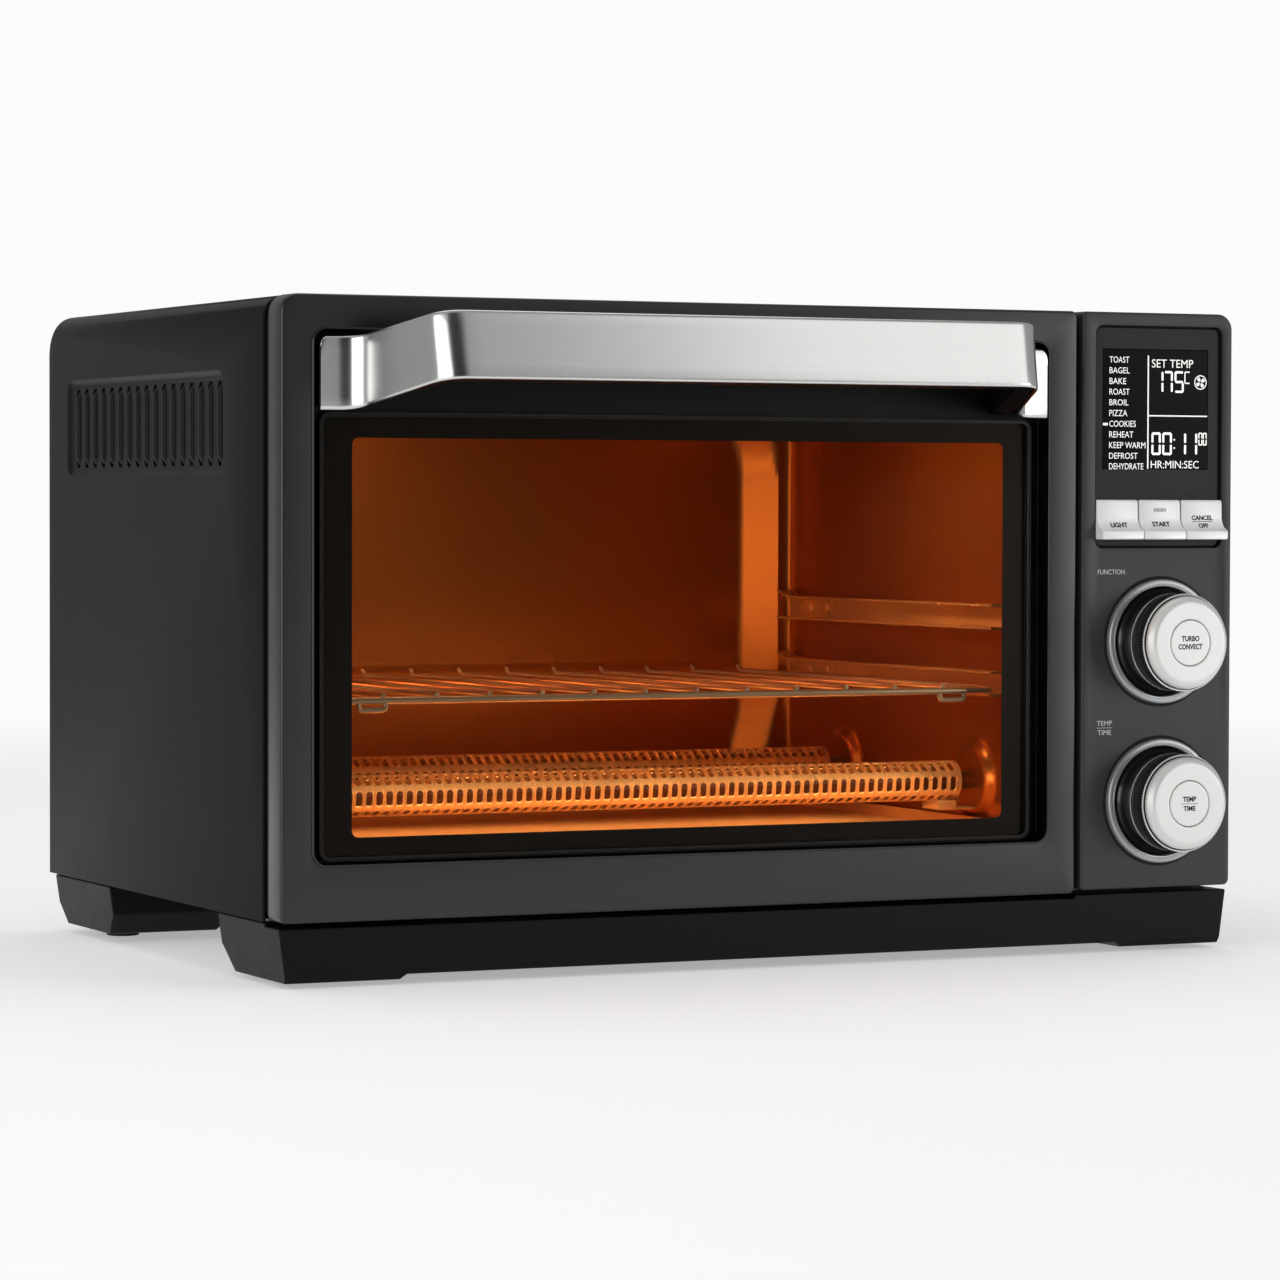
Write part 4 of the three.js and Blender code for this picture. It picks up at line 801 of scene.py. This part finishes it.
def handle_line():
    """The inner side of the strap seen from above, from the left end plate to the right one."""
    h = HANDLE
    half = [(h["outer"], h["plate_y"]), (h["inner"], h["plate_y"]), (h["bar_x"], h["sheet"] - h["reach"])]
    pts = [Vector(c) for c in half] + [Vector((DOOR["x1"] - x, y)) for x, y in reversed(half)]
    ends = (0, 0.15, 0.4, 0.8, 1.3, 2.0, 2.8)  # close together, to round the end's corners
    line = [pts[0] + Vector((d, 0)) for d in ends]
    for a, b, c in zip(pts, pts[1:], pts[2:]):
        enter, leave = b + (a - b).normalized() * h["bend"], b + (c - b).normalized() * h["bend"]
        start = line[-1].copy()
        pieces = max(1, round((enter - start).length / 6))
        line += [start.lerp(enter, k / pieces) for k in range(1, pieces)]
        line += curve(enter, b, leave, 14)
    return line + [pts[-1] - Vector((d, 0)) for d in reversed(ends)]


def moved(line, offset):
    """The line moved sideways, towards the door where offset is positive."""
    out = []
    for i, p in enumerate(line):
        along = (line[min(i + 1, len(line) - 1)] - line[max(i - 1, 0)]).normalized()
        out.append(p + Vector((-along.y, along.x)) * offset)
    return out


def handle_point(p, up, drop=0.0):
    """Raises a point of the plan into the handle's leaning form, a share up of the way to its top."""
    h = HANDLE
    out = h["plate_y"] - p.y
    share = clamp(out / (h["plate_y"] + h["reach"]))
    z0 = h["plate_z0"] + (h["bar_z0"] - h["plate_z0"]) * share
    z1 = h["plate_z1"] + (h["bar_z1"] - h["plate_z1"]) * share - drop
    lean = 1 - (1 - h["setback"]) * up * share
    return p.x, h["plate_y"] - out * lean, z0 + (z1 - z0) * up


def build_handle():
    h = HANDLE
    corner = h["corner"]
    edge = [(0.05, 0.0), (0.025, 0.1), (0.008, 0.35), (0.0, 0.75), (0.006, 1.15), (0.02, 1.5)]
    across = [0.2, 0.4, 0.6, 0.8]
    section = edge[::-1] + [(up, 0.0) for up in across] + [(1 - up, out) for up, out in edge]
    section += [(up, 1.5) for up in reversed(across)]
    line = handle_line()
    lines = {out: moved(line, out - h["sheet"]) for out in {out for _, out in section}}
    loops = []
    for i, p in enumerate(line):
        end = min(p.x - h["outer"], DOOR["x1"] - h["outer"] - p.x)
        drop = corner - math.sqrt(max(corner ** 2 - (corner - end) ** 2, 0)) if end < corner else 0
        loops.append([handle_point(lines[out][i], up, drop) for up, out in section])
    piece("door_handle_strap", loft(loops), STEEL, "door", "door_handle", sharp=40)
    refined("handle_core", 0.5, PLASTIC, "door")


def build_door():
    build_door_frame()
    build_door_glass()
    build_handle()
    refined("door_inner_panel", 0.3, ZINC, "door")
    for side in ("left", "right"):
        refined(f"hinge_bracket_{side}", 0.2, ZINC, "body")


# ---- Oven cavity -----------------------------------------------------------------------------------

def spaced(points, step):
    """Sorted positions with no gap wider than step."""
    out = []
    for a, b in zip(points, points[1:]):
        n = max(1, math.ceil((b - a) / step))
        out += [a + (b - a) * k / n for k in range(n)]
    return out + [points[-1]]


def dome_height(y, z):
    """How far a side wall's bosses stand in from it at a point."""
    for centre in HEATER_Y:
        r = math.hypot(y - centre, z - HEATER_Z)
        if r < DOME["rim"] + 1:
            return DOME["depth"] * smoothstep((DOME["rim"] - r) / (DOME["rim"] - DOME["crown"]))
    return 0.0


def pan_depth(x, z):
    """How far the rear wall's pan goes back at a point."""
    p, soft = PAN, 1.2
    low = clamp((p["low"] - z) / (p["low"] - p["z0"]))
    high = clamp((z - p["high"]) / (p["z1"] - p["high"]))
    side = min(x - p["x0"], p["x1"] - x) - p["taper"] * max(low, high)
    inside = min(side, z - p["z0"], p["z1"] - z)
    if inside < soft:
        return max(inside, 0) ** 2 / (2 * soft)
    k = clamp((inside - p["slope"] + soft) / (2 * soft))
    return min(inside, p["slope"] + soft) - soft * k * k


def build_liner():
    c, p = CAVITY, PAN
    r = c["corner"]
    left, right, low, high = c["x0"] + r, c["x1"] - r, c["z0"] + r, c["z1"] - r
    flat = spaced([left, right], 20)
    zs = {*spaced([low, HEATER_Z - FINE, HEATER_Z + FINE, high], 12)}
    zs = sorted(zs.union(spaced([HEATER_Z - FINE, HEATER_Z + FINE], 1.6)))
    ys = {c["y0"], *spaced([HEATER_Y[0] + FINE, HEATER_Y[1] - FINE], 14)}
    ys.update(spaced([HEATER_Y[1] + FINE, c["y1"] - r], 8))
    for y in HEATER_Y:
        ys.update(spaced([y - FINE, y + FINE], 1.6))

    def bend(cx, cz, start, count=5):
        """A corner's points after its first, anticlockwise from an angle in degrees."""
        turns = (math.radians(start + 18 * k) for k in range(1, count + 1))
        return [(cx + r * math.cos(t), cz + r * math.sin(t)) for t in turns]

    def round_the_walls(y):
        line = [(c["x1"] - dome_height(y, z), z) for z in zs] + bend(right, high, 0)
        line += [(x, c["z1"]) for x in flat[-2::-1]] + bend(left, high, 90)
        line += [(c["x0"] + dome_height(y, z), z) for z in zs[-2::-1]] + bend(left, low, 180)
        line += [(x, c["z0"]) for x in flat[1:]] + bend(right, low, 270, 4)
        return at_y(line + line[:1], y)

    def ruled(a, b, first, last, margin, step):
        """Positions from a to b, close together over the pan's slopes."""
        near, far = first + margin, last - margin
        return spaced([a, first, near], 1.5) + spaced([near, far], step)[1:] + spaced([far, last, b], 1.5)[1:]

    rows = [round_the_walls(y) for y in sorted(ys)]
    last, middle = rows[-1], (c["x0"] + c["x1"]) / 2
    for k in range(1, 6):
        t = math.radians(18 * k)
        pull = r * (1 - math.cos(t))
        turned = []
        for x, y, z in last:
            sx = pull if x < middle - 100 else -pull if x > middle + 100 else 0
            sz = pull if z < low + 0.01 else -pull if z > high - 0.01 else 0
            turned.append((x + sx, c["y1"] - r + r * math.sin(t), z + sz))
        rows.append(turned)
    xs = ruled(left, right, p["x0"], p["x1"], p["slope"] + p["taper"] + 2, 12)
    pan_zs = ruled(low, high, p["z0"], p["z1"], p["slope"] + 2, 6)
    rear = grid([[(x, c["y1"] + pan_depth(x, z), z) for x in xs] for z in pan_zs])
    liner = make("cavity_liner_form", merge(grid(rows), rear), 60)
    apply_modifier(liner, "SOLIDIFY", thickness=c["sheet"] * MM, offset=1.0)
    tidy_mesh(liner, 40)
    carve(liner, fan_holes(), 40)
    finish(liner, LINER_GLOW_TINT, "body", "cavity_liner")


def guard_tube(y):
    """A tube pierced by rows of upright slots, with eased rims."""
    g = GUARD
    length = g["x1"] - g["x0"] - 4
    cells = round(length / g["pitch"])
    pitch = length / cells
    row_angle = 2 * math.pi / g["rows"]
    outer, inner = g["radius"], g["radius"] - g["wall"]

    def outline(x, angle, half_x, half_angle, roundness):
        rx = half_x * roundness
        ra = rx / outer
        pts = []
        for sx, sa, start in ((1, 1, 0), (-1, 1, 90), (-1, -1, 180), (1, -1, 270)):
            cx, ca = x + sx * (half_x - rx), angle + sa * (half_angle - ra)
            turns = (math.radians(start + 30 * k) for k in range(4))
            pts += [(cx + rx * math.cos(t), ca + ra * math.sin(t)) for t in turns]
        return pts

    def wrap(pts, radius):
        return [(x, y - radius * math.cos(a), HEATER_Z + radius * math.sin(a)) for x, a in pts]

    parts = []
    for row in range(g["rows"]):
        angle = math.radians(-7) + row * row_angle
        for i in range(cells):
            x = g["x0"] + 2 + (i + 0.5) * pitch
            full = outline(x, angle, pitch / 2, row_angle / 2, 0.0)
            wide = outline(x, angle, 1.75, math.radians(23), 1.0)
            slot = outline(x, angle, 1.55, math.radians(21.5), 1.0)
            rims = ((full, outer), (wide, outer), (slot, outer - 0.2), (slot, inner), (full, inner))
            parts.append(loft([wrap(pts, radius) for pts, radius in rims], caps=False))
    angles = [2 * math.pi * k / 48 for k in range(48)]
    for x0, x1 in ((g["x0"], g["x0"] + 2), (g["x1"] - 2, g["x1"])):
        corners = ((x0, outer), (x1, outer), (x1, inner), (x0, inner))
        parts.append(loft([wrap([(x, a) for a in angles], radius) for x, radius in corners], close=True))
    return merge(*parts)


def guard_feet(y):
    """A foot under each end of a guard, with a tongue out to the wall's boss."""
    g = GUARD
    low = HEATER_Z - g["radius"] + g["wall"] - 5
    wall = CAVITY["x0"] + DOME["depth"] + 0.3
    foot = (g["x0"] + 2, g["x0"] + 12, HEATER_Z - g["radius"] + 0.3)
    tongue = (wall, g["x0"] + 4, low + 1.2)
    parts = []
    for mirror in (False, True):
        for x0, x1, top in (foot, tongue):
            if mirror:
                x0, x1 = g["x0"] + g["x1"] - x1, g["x0"] + g["x1"] - x0
            parts.append(block((x0, y - 8, low), (x1, y + 8, top)))
    return merge(*parts)


def build_guards():
    for row, y in zip(("front", "rear"), HEATER_Y):
        pierced = make("guard_tube", guard_tube(y), 40)
        feet = make("guard_feet", guard_feet(y))
        ease(feet, 0.4)
        both = join([pierced, feet], f"heater_guard_{row}_form")
        finish(both, GUARD_GLOW_TINT, "body", f"heater_guard_{row}")


def rail_profile(lift):
    """A rail's channel section as (out from the wall, up) points, its upper lip raised by lift."""
    reach, tall, t = RAIL["reach"], RAIL["tall"], RAIL["wall"]
    return [
        (0.3, 0), (reach - 0.3, 0), (reach, 0.3), (reach, t), (reach - 0.4, t + 0.1), (t + 0.9, t),
        (t + 0.4, t + 0.5), (t + 0.3, tall - t - 0.4), (t + 0.9, tall - t + lift),
        (reach - 0.4, tall - t + lift),
        (reach, tall - t + 0.3 + lift), (reach - 0.1, tall + lift), (1.2, tall + lift),
        (0.4, tall - 0.4 + lift * 0.5),
    ]


def build_rail(node, wall_x, inward):
    r = RAIL
    z0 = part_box(node)[0].z / MM
    flare = r["y1"] - 14
    loops = []
    for y in spaced([r["y0"], flare], 60) + spaced([flare, r["y1"]], 2)[1:]:
        lift = 3.2 * smoothstep((y - flare) / 14) ** 1.3
        loops.append([(wall_x + inward * u, y, z0 + v) for u, v in rail_profile(lift)])
    rail = make(node + "_form", loft(loops), 30)
    head = [(0.01, 3.1), (1.2, 3.1), (2.6, 2.6), (3.2, 1.7), (3.2, 1.0), (0.01, 1.0)]
    profile = [(radius, wall_x + inward * out) for radius, out in head]
    screws = [turned_x(profile, y, z0 + r["tall"] / 2, 20) for y in (223.5, 205.3)]
    tab = [(228, 1.55), (228, 2.1), (200, 2.1), (200, 1.55)]
    tab_loops = [[(wall_x + inward * u, y, z) for y, u in tab] for z in (z0 + 1.6, z0 + r["tall"] - 1.6)]
    fixings = make("screws", merge(*screws, loft(tab_loops)), 40)
    finish(join([rail, fixings], node + "_form"), RAIL_GLOW_TINT, "body", node)


def build_rails():
    for level in ("upper", "lower"):
        build_rail(f"rack_guide_{level}_left", CAVITY["x0"], 1)
        build_rail(f"rack_guide_{level}_right", CAVITY["x1"], -1)


def build_rack():
    k = RACK
    f, corner = k["frame"], 8
    x0, x1, y0, y1, z = k["x0"] + f, k["x1"] - f, k["y0"] + f, k["y1"] - f, k["z"]
    up = Vector((0, 0, 1))
    frame_line = []
    for cx, cy, start in ((x1 - corner, y1 - corner, 0), (x0 + corner, y1 - corner, 90),
                          (x0 + corner, y0 + corner, 180), (x1 - corner, y0 + corner, 270)):
        turns = (math.radians(start + 15 * s) for s in range(7))
        frame_line += [Vector((cx + corner * math.cos(t), cy + corner * math.sin(t), z)) for t in turns]
    rings = []
    for i, p in enumerate(frame_line):
        out = (frame_line[(i + 1) % len(frame_line)] - frame_line[i - 1]).normalized().cross(up)
        rings.append([tuple(p + out * u + up * v) for u, v in ring_points(f, 12)])
    parts = [loft(rings, close=True)]
    wire_z = z + f + k["wire"] - 0.7
    middle = (k["x0"] + k["x1"]) / 2
    for i in range(12):
        x = middle + (i - 5.5) * k["pitch"]
        line = [(x, k["y0"] + 0.8, wire_z - 0.2), (x, y1 - 4, wire_z), (x, k["y1"] - 1.6, wire_z + 2.2)]
        parts.append(tube(smooth_path(line, 3), k["wire"]))
    half, low = 6.5, 119.8
    for hook in (347, 2 * middle - 347):
        a, b = hook - half, hook + half
        line = [(a, y0, z), (a, y0, low), (b, y0, low), (b, y0, z)]
        parts.append(tube(smooth_path(line, 3), k["wire"]))
    piece("wire_rack_form", merge(*parts), RACK_WIRE_GLOW_TINT, "rack", "wire_rack", sharp=50)


def build_cavity():
    build_liner()
    build_guards()
    build_rails()
    build_rack()
    refined("crumb_tray", 0.35, TRAY_GLOW_TINT, "body")


def fan_holes():
    holes = []
    for ring in (1, 2):
        for u, v in ring_points(ring * FAN["ring"], ring * 6):
            holes.append(turned_y([(4, 260), (4, 270)], FAN["x"] + u, FAN["z"] + v, 16, close=False))
    return merge(*holes)


# ---- Control column --------------------------------------------------------------------------------

def key_span(i):
    """A key's left and right sides."""
    width = (INSET["x1"] - INSET["x0"]) / 3
    left = INSET["x0"] + i * width + BUTTON["gap"]
    return left, left + width - 2 * BUTTON["gap"]


def build_fascia():
    n = 8
    depth, floor, lip = PANEL["depth"], INSET["depth"], 0.5

    def outer(inset, y):
        return at_y(inset_rect(PANEL, inset, [max(r - inset, 0.5) for r in (2, 3, 7.5, 2)], n), y)

    def sunk(inset, y):
        return at_y(inset_rect(INSET, inset, max(INSET["corner"] - inset, 0.5), n), y)

    loops = [outer(2.5, depth), outer(0.4, depth), outer(0, depth - 0.4)]
    loops += [outer(inset, y) for inset, y in arc_steps(1.2)]
    loops += [sunk(-lip, 0), sunk(-lip * 0.4, 0.1), sunk(0, lip), sunk(0, floor + 1.2)]
    loops += [sunk(0.8, floor + 1.2), sunk(0.8, floor + 0.3), sunk(1.1, floor)]
    loops += [at_y(inset_rect(LCD, -0.3, 0.4, n), y) for y in (floor, 5)]
    fascia = make("control_fascia_form", loft(loops + [outer(2.5, 5)], close=True))
    cuts = [turned_y([(27.5, -2), (27.5, 7)], KNOB_X, z, 64, close=False) for z in KNOB_Z.values()]
    for i in range(3):
        left, right = key_span(i)
        cuts.append(block((left + 4, 0, 198), (right - 4, 6, 211)))
    carve(fascia, merge(*cuts))

    # The inset's walls, its groove and the display's opening take the near-black look: painted shade in these
    # recesses; the inset floor takes its own paint
    def choose(x, y, z):
        across = INSET["x0"] - 0.2 < x < INSET["x1"] + 0.2
        upright = INSET["z0"] - 0.2 < z < INSET["z1"] + 0.2
        if not (across and upright and y > 0.55):
            return 0
        return 1 if abs(y - floor) < 0.4 else 2

    finish(fascia, (PANEL_PAINT, INSET_PAINT, GAP_SHADE), "body", "control_fascia", choose=choose)


def fan_mark(x, z, y):
    """A ring with four curved blades."""
    marks = [turned_y([(3.45, y - MARK), (3.45, y), (2.95, y), (2.95, y - MARK)], x, z, 40)]
    blade = ((0.4, 0), (1.4, -0.35), (2.5, -0.1), (2.7, 0.35), (1.9, 0.75), (0.9, 0.7))
    for k in range(4):
        start = math.radians(90 * k + 20)
        marks.append(mark([(x + r * math.cos(start + t), z + r * math.sin(start + t)) for r, t in blade], y))
    return merge(*marks)


FUNCTIONS = (
    ("TOAST", 428.9), ("BAGEL", 429.2), ("BAKE", 427.3), ("ROAST", 429.2), ("BROIL", 428.6), ("PIZZA", 428.0),
    ("COOKIES", 432.7), ("REHEAT", 431.4), ("KEEP WARM", 438.1), ("DEFROST", 433.8), ("DEHYDRATE", 437.0),
)  # each word and where it ends


def build_display():
    y = INSET["depth"] + 0.15
    steps = ((-1.5, 1, 8), (-1.5, 1, 5.3), (0.05, 0.3, 5.3), (0.05, 0.3, y + 0.1), (0.15, 0.3, y))
    screen = loft([at_y(inset_rect(LCD, inset, radius, 4), depth) for inset, radius, depth in steps])
    piece("lcd_window", screen, LCD_BLACK, "body", "lcd_display")
    marks = []
    for i, (word, end) in enumerate(FUNCTIONS):
        marks.append(lettering(word, 418.1, end, 280.2 - 5.04 * i + (0.1 if i == 10 else 0), 2.9, y))
    marks.append(slab_mark(414.7, 249.1, 417.3, 250.3, y))
    marks.append(slab_mark(439.1, LCD["z0"] + 0.1, 439.8, 282.3, y))
    marks.append(slab_mark(439.8, 253.6, LCD["x1"] - 0.1, 254.2, y))
    marks.append(lettering("SET TEMP", 441.4, 464.4, 278.7, 3.9, y))
    for char, x0, x1 in (("1", 443.6, 447.9), ("7", 448.3, 453.1), ("5", 454.0, 459.2)):
        marks.append(digit(char, x0, x1, 264.9, 275.2, y, 1.1))
    for z in (274.5, 269.2):
        marks.append(slab_mark(459.9, z, 462.4, z + 0.6, y))
    marks.append(slab_mark(459.5, 269.6, 460.1, 274.7, y))
    marks.append(fan_mark(468.5, 270, y))
    for char, x0, x1 in (("0", 441.4, 446.6), ("0", 447.4, 452.8), ("1", 455.2, 460.7), ("1", 461.8, 466.9)):
        marks.append(digit(char, x0, x1, 235.3, 246.1, y, 1.15))
    for z in (238.7, 242.6):
        marks.append(slab_mark(453.7, z - 0.4, 454.5, z + 0.4, y))
    for x0, x1 in ((467.5, 469.8), (470.0, 472.2)):
        marks.append(digit("0", x0, x1, 240, 246.1, y, 0.62))
    marks.append(lettering("HR:MIN:SEC", 441.1, 467.8, 230.85, 3.6, y))
    piece("lcd_marks", merge(*marks), MARKS, "body")


def paddle_front():
    """The key's front seen from the side, from its lip up, as (y, z) points."""
    z0, z1, lip = BUTTON["z0"], BUTTON["z1"], BUTTON["lip"]
    line = [(-lip + 0.5, z0), (-lip, z0 + 0.5), (-lip, z0 + 3.4), (-lip + 0.3, z0 + 3.9)]
    hollow = curve(Vector((-lip + 0.8, z0 + 4.1)), Vector((-2.0, z0 + 5.0)), Vector((-1.0, z0 + 10)), 8)
    return line + [tuple(p) for p in hollow] + [(-0.8, z1 - 1.2), (-0.5, z1 - 0.4), (-0.1, z1)]


def on_paddle(part):
    """Bends a flat mark onto the key's front."""
    line = paddle_front()

    def front_y(z):
        for (ya, za), (yb, zb) in zip(line, line[1:]):
            if za <= z <= zb:
                return ya + (yb - ya) * (z - za) / max(zb - za, 1e-6)
        return line[-1][0]

    points, faces = part
    return [(x, front_y(z) + y, z) for x, y, z in points], faces


def button_label(name, x):
    """The words on a key, above its lip."""
    y = -0.02
    if name == "light":
        marks = [centred("LIGHT", x, 4.6, 202.2, 2.3, y)]
    elif name == "start":
        marks = [centred("START", x, 4.8, 202.6, 2.3, y)]
        for box_x in (x - 2.2, x, x + 2.2):
            a, b = box_x - 0.85, box_x + 0.85
            marks += [slab_mark(a, z, b, z + 0.35, y) for z in (208.6, 209.6)]
            marks += [slab_mark(side - 0.12, 208.6, side + 0.12, 209.95, y) for side in (a, b)]
    else:
        marks = [centred("CANCEL", x, 5.8, 205.6, 2.3, y), slab_mark(x - 5.6, 203.7, x + 5.6, 203.95, y),
                 centred("OFF", x, 2.7, 201.9, 2.1, y)]
    return merge(*(on_paddle(part) for part in marks))


def build_buttons():
    z0, z1, back = BUTTON["z0"], BUTTON["z1"], 0.2
    outline = [(back, z0)] + paddle_front() + [(back, z1)]
    for i, name in enumerate(("light", "start", "cancel")):
        a, b = key_span(i)
        loops = []
        near = [(a, 0.45), (a + 0.12, 0.15), (a + 0.45, 0)]
        far = [(b - 0.45, 0), (b - 0.12, 0.15), (b, 0.45)]
        for x, shrink in near + far:
            loop = []
            for y, z in outline:
                inner_z = z - shrink if z > (z0 + z1) / 2 else z + shrink
                loop.append((x, y + shrink if y < back - 0.01 else y, inner_z))
            loops.append(loop)
        paddle = make(f"{name}_button_form", loft(loops), 30)
        stem = make("stem", block((a + 5, 0, 199.5), (b - 5, 18, 209.5)))
        finish(join([paddle, stem], f"{name}_button_form"), KEYS, f"{name}_key", f"{name}_button")
        piece(f"{name}_label", button_label(name, (a + b) / 2), DARK_INK, f"{name}_key")


def toothed(x, z, rings, power=1.0):
    """Loops about (x, z) from (radius, tooth depth, y) rows; a power below 1 narrows the teeth."""
    loops = []
    for radius, depth, y in rings:
        loop = []
        for s in range(TEETH * 6):
            t = 2 * math.pi * s / (TEETH * 6)
            r = radius - depth * (0.5 - 0.5 * math.cos(t * TEETH)) ** power
            loop.append((x + r * math.cos(t), y, z + r * math.sin(t)))
        loops.append(loop)
    return loops


def knurl_beads(x, z, y):
    """A ring of small light-grey tips at one end of the grip: painted glints on the black knurl."""
    rings = ((22.5, 0.1, -0.35), (23.15, 0.5, -0.2), (23.2, 0.5, 0.0), (23.15, 0.5, 0.2), (22.5, 0.1, 0.35))
    return loft(toothed(x, z, [(radius, depth, y + step) for radius, depth, step in rings]), close=True)


BEZEL = (
    (29.5, -0.1), (29.5, -2.0), (29.35, -2.5), (28.9, -2.9), (28.4, -3.0), (27.5, -3.0), (27.3, -2.75),
    (27.1, -2.75), (26.9, -3.0), (26.4, -2.95), (26.1, -2.6), (26.0, -2.0), (26.0, 5), (26.7, 5),
    (26.7, -0.1),
)
# A flat black ring round each bezel: painted shadow in the gap around the bezel
BEZEL_SHADE_RING = ((29.3, -0.02), (31.0, -0.02), (31.2, 0.2), (29.3, 0.2))
KNOB_CORE = (
    (3.8, 3), (25.6, 3), (25.6, -0.5), (25.3, -1.0), (24.8, -1.55), (24.1, -2.3), (23.5, -3.2), (23.0, -4.5),
    (22.7, -6.2), (22.4, -8.6), (22.2, -10.5), (22.2, -22.2), (11, -22.2), (11, -19), (3.8, -19),
)
GRIP = (
    (22.2, 0, -10.4), (22.6, 0.25, -10.5), (23.0, 0.45, -10.75), (23.1, 0.5, -11.2), (23.1, 0.5, -12.1),
    (22.9, 0.3, -12.4), (23.1, 0.45, -12.7), (23.1, 0.45, -21.6), (22.9, 0.4, -22.0), (22.2, 0, -22.1),
)
KNOB_CAP = (
    (11.0, -22.5), (21.5, -22.5), (21.7, -22.7), (21.7, -24.2), (21.5, -24.6), (20.9, -25.4), (19.9, -26.4),
    (19.2, -26.85), (18.5, -27.0), (18.2, -27.0), (11.8, -27.0), (11.5, -27.0), (11.15, -26.9), (11.0, -26.6),
)
CENTRE_BUTTON = (
    (2.0, -2), (2.0, -21.5), (10.7, -21.5), (10.7, -26.6), (10.55, -26.9), (10.2, -27.0), (9.9, -27.0),
)


def knob_words(name, x, z):
    y = CENTRE_BUTTON[-1][1]
    if name == "function":
        return merge(centred("TURBO", x, 4.9, z + 2.0, 2.6, y), centred("CONVECT", x, 6.6, z - 1.8, 2.6, y))
    return merge(centred("TEMP", x, 3.7, z + 2.2, 2.4, y), slab_mark(x - 4.6, z - 0.12, x + 4.6, z + 0.12, y),
                 centred("TIME", x, 3.3, z - 2.2, 2.4, y))


def build_knob(name, z):
    x, dial, push = KNOB_X, f"{name}_dial", f"{name}_push"

    def turned(profile):
        return turned_y(profile, x, z, KNOB_SIDES)

    piece(f"{name}_bezel_form", turned(BEZEL), TRIM, "body", f"{name}_knob_bezel", sharp=40)
    # The black ring round the bezel is painted shadow
    piece(f"{name}_bezel_shade_ring", turned(BEZEL_SHADE_RING), GAP_SHADE, "body")
    piece(f"{name}_knob_form", turned(KNOB_CORE), GLOSS, dial, f"{name}_knob", sharp=30)
    piece(f"{name}_grip", loft(toothed(x, z, GRIP, 0.7), caps=False), KNURL, dial, sharp=60)
    piece(f"{name}_grip_glint_beads", merge(*(knurl_beads(x, z, y) for y in (-11.2, -21.9))), KNURL_GLINT, dial, sharp=60)
    piece(f"{name}_cap_form", turned(KNOB_CAP), SILVER, dial, f"{name}_knob_cap", sharp=25)
    centre = turned_y(CENTRE_BUTTON, x, z, 80, close=False)
    piece(f"{name}_centre_form", centre, SILVER, push, f"{name}_centre_button", sharp=30)
    piece(f"{name}_knob_label", knob_words(name, x, z), DARK_INK, push)


def build_labels():
    words = (("FUNCTION", 411.0, 425.8, 180.0), ("TEMP", 411.0, 419.2, 108.6), ("TIME", 411.4, 418.8, 104.2))
    marks = [lettering(word, x0, x1, z, 2.3, 0) for word, x0, x1, z in words]
    marks.append(slab_mark(410.9, 106.3, 419.4, 106.5, 0))
    piece("panel_labels", merge(*marks), INK, "body")


def build_controls():
    build_fascia()
    build_display()
    build_buttons()
    for name, z in KNOB_Z.items():
        build_knob(name, z)
    build_labels()


# ---- CAD pieces that keep their own form -----------------------------------------------------------

KEPT = (
    (QUARTZ, ("heater_lower_front", "heater_lower_rear", "heater_upper_front", "heater_upper_rear")),
    (LAMP_GLASS, ("oven_lamp",)),
    (CERAMIC, ("lamp_holder",)),
    (ZINC, ("fan_impeller", "fan_motor", "heat_shield", "function_encoder", "temp_encoder")),
    (CHROME, ("temperature_probe", "hinge_pin_left", "hinge_pin_right")),
    (CHROME, ("hinge_spring_left", "hinge_spring_right")),
    (BOARD, ("control_board", "power_board")),
)


def dress_kept():
    for look, nodes in KEPT:
        for node in nodes:
            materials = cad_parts[node].data.materials
            materials.clear()
            materials.append(look.material)


build_housing()
build_door()
build_cavity()
build_controls()
dress_kept()
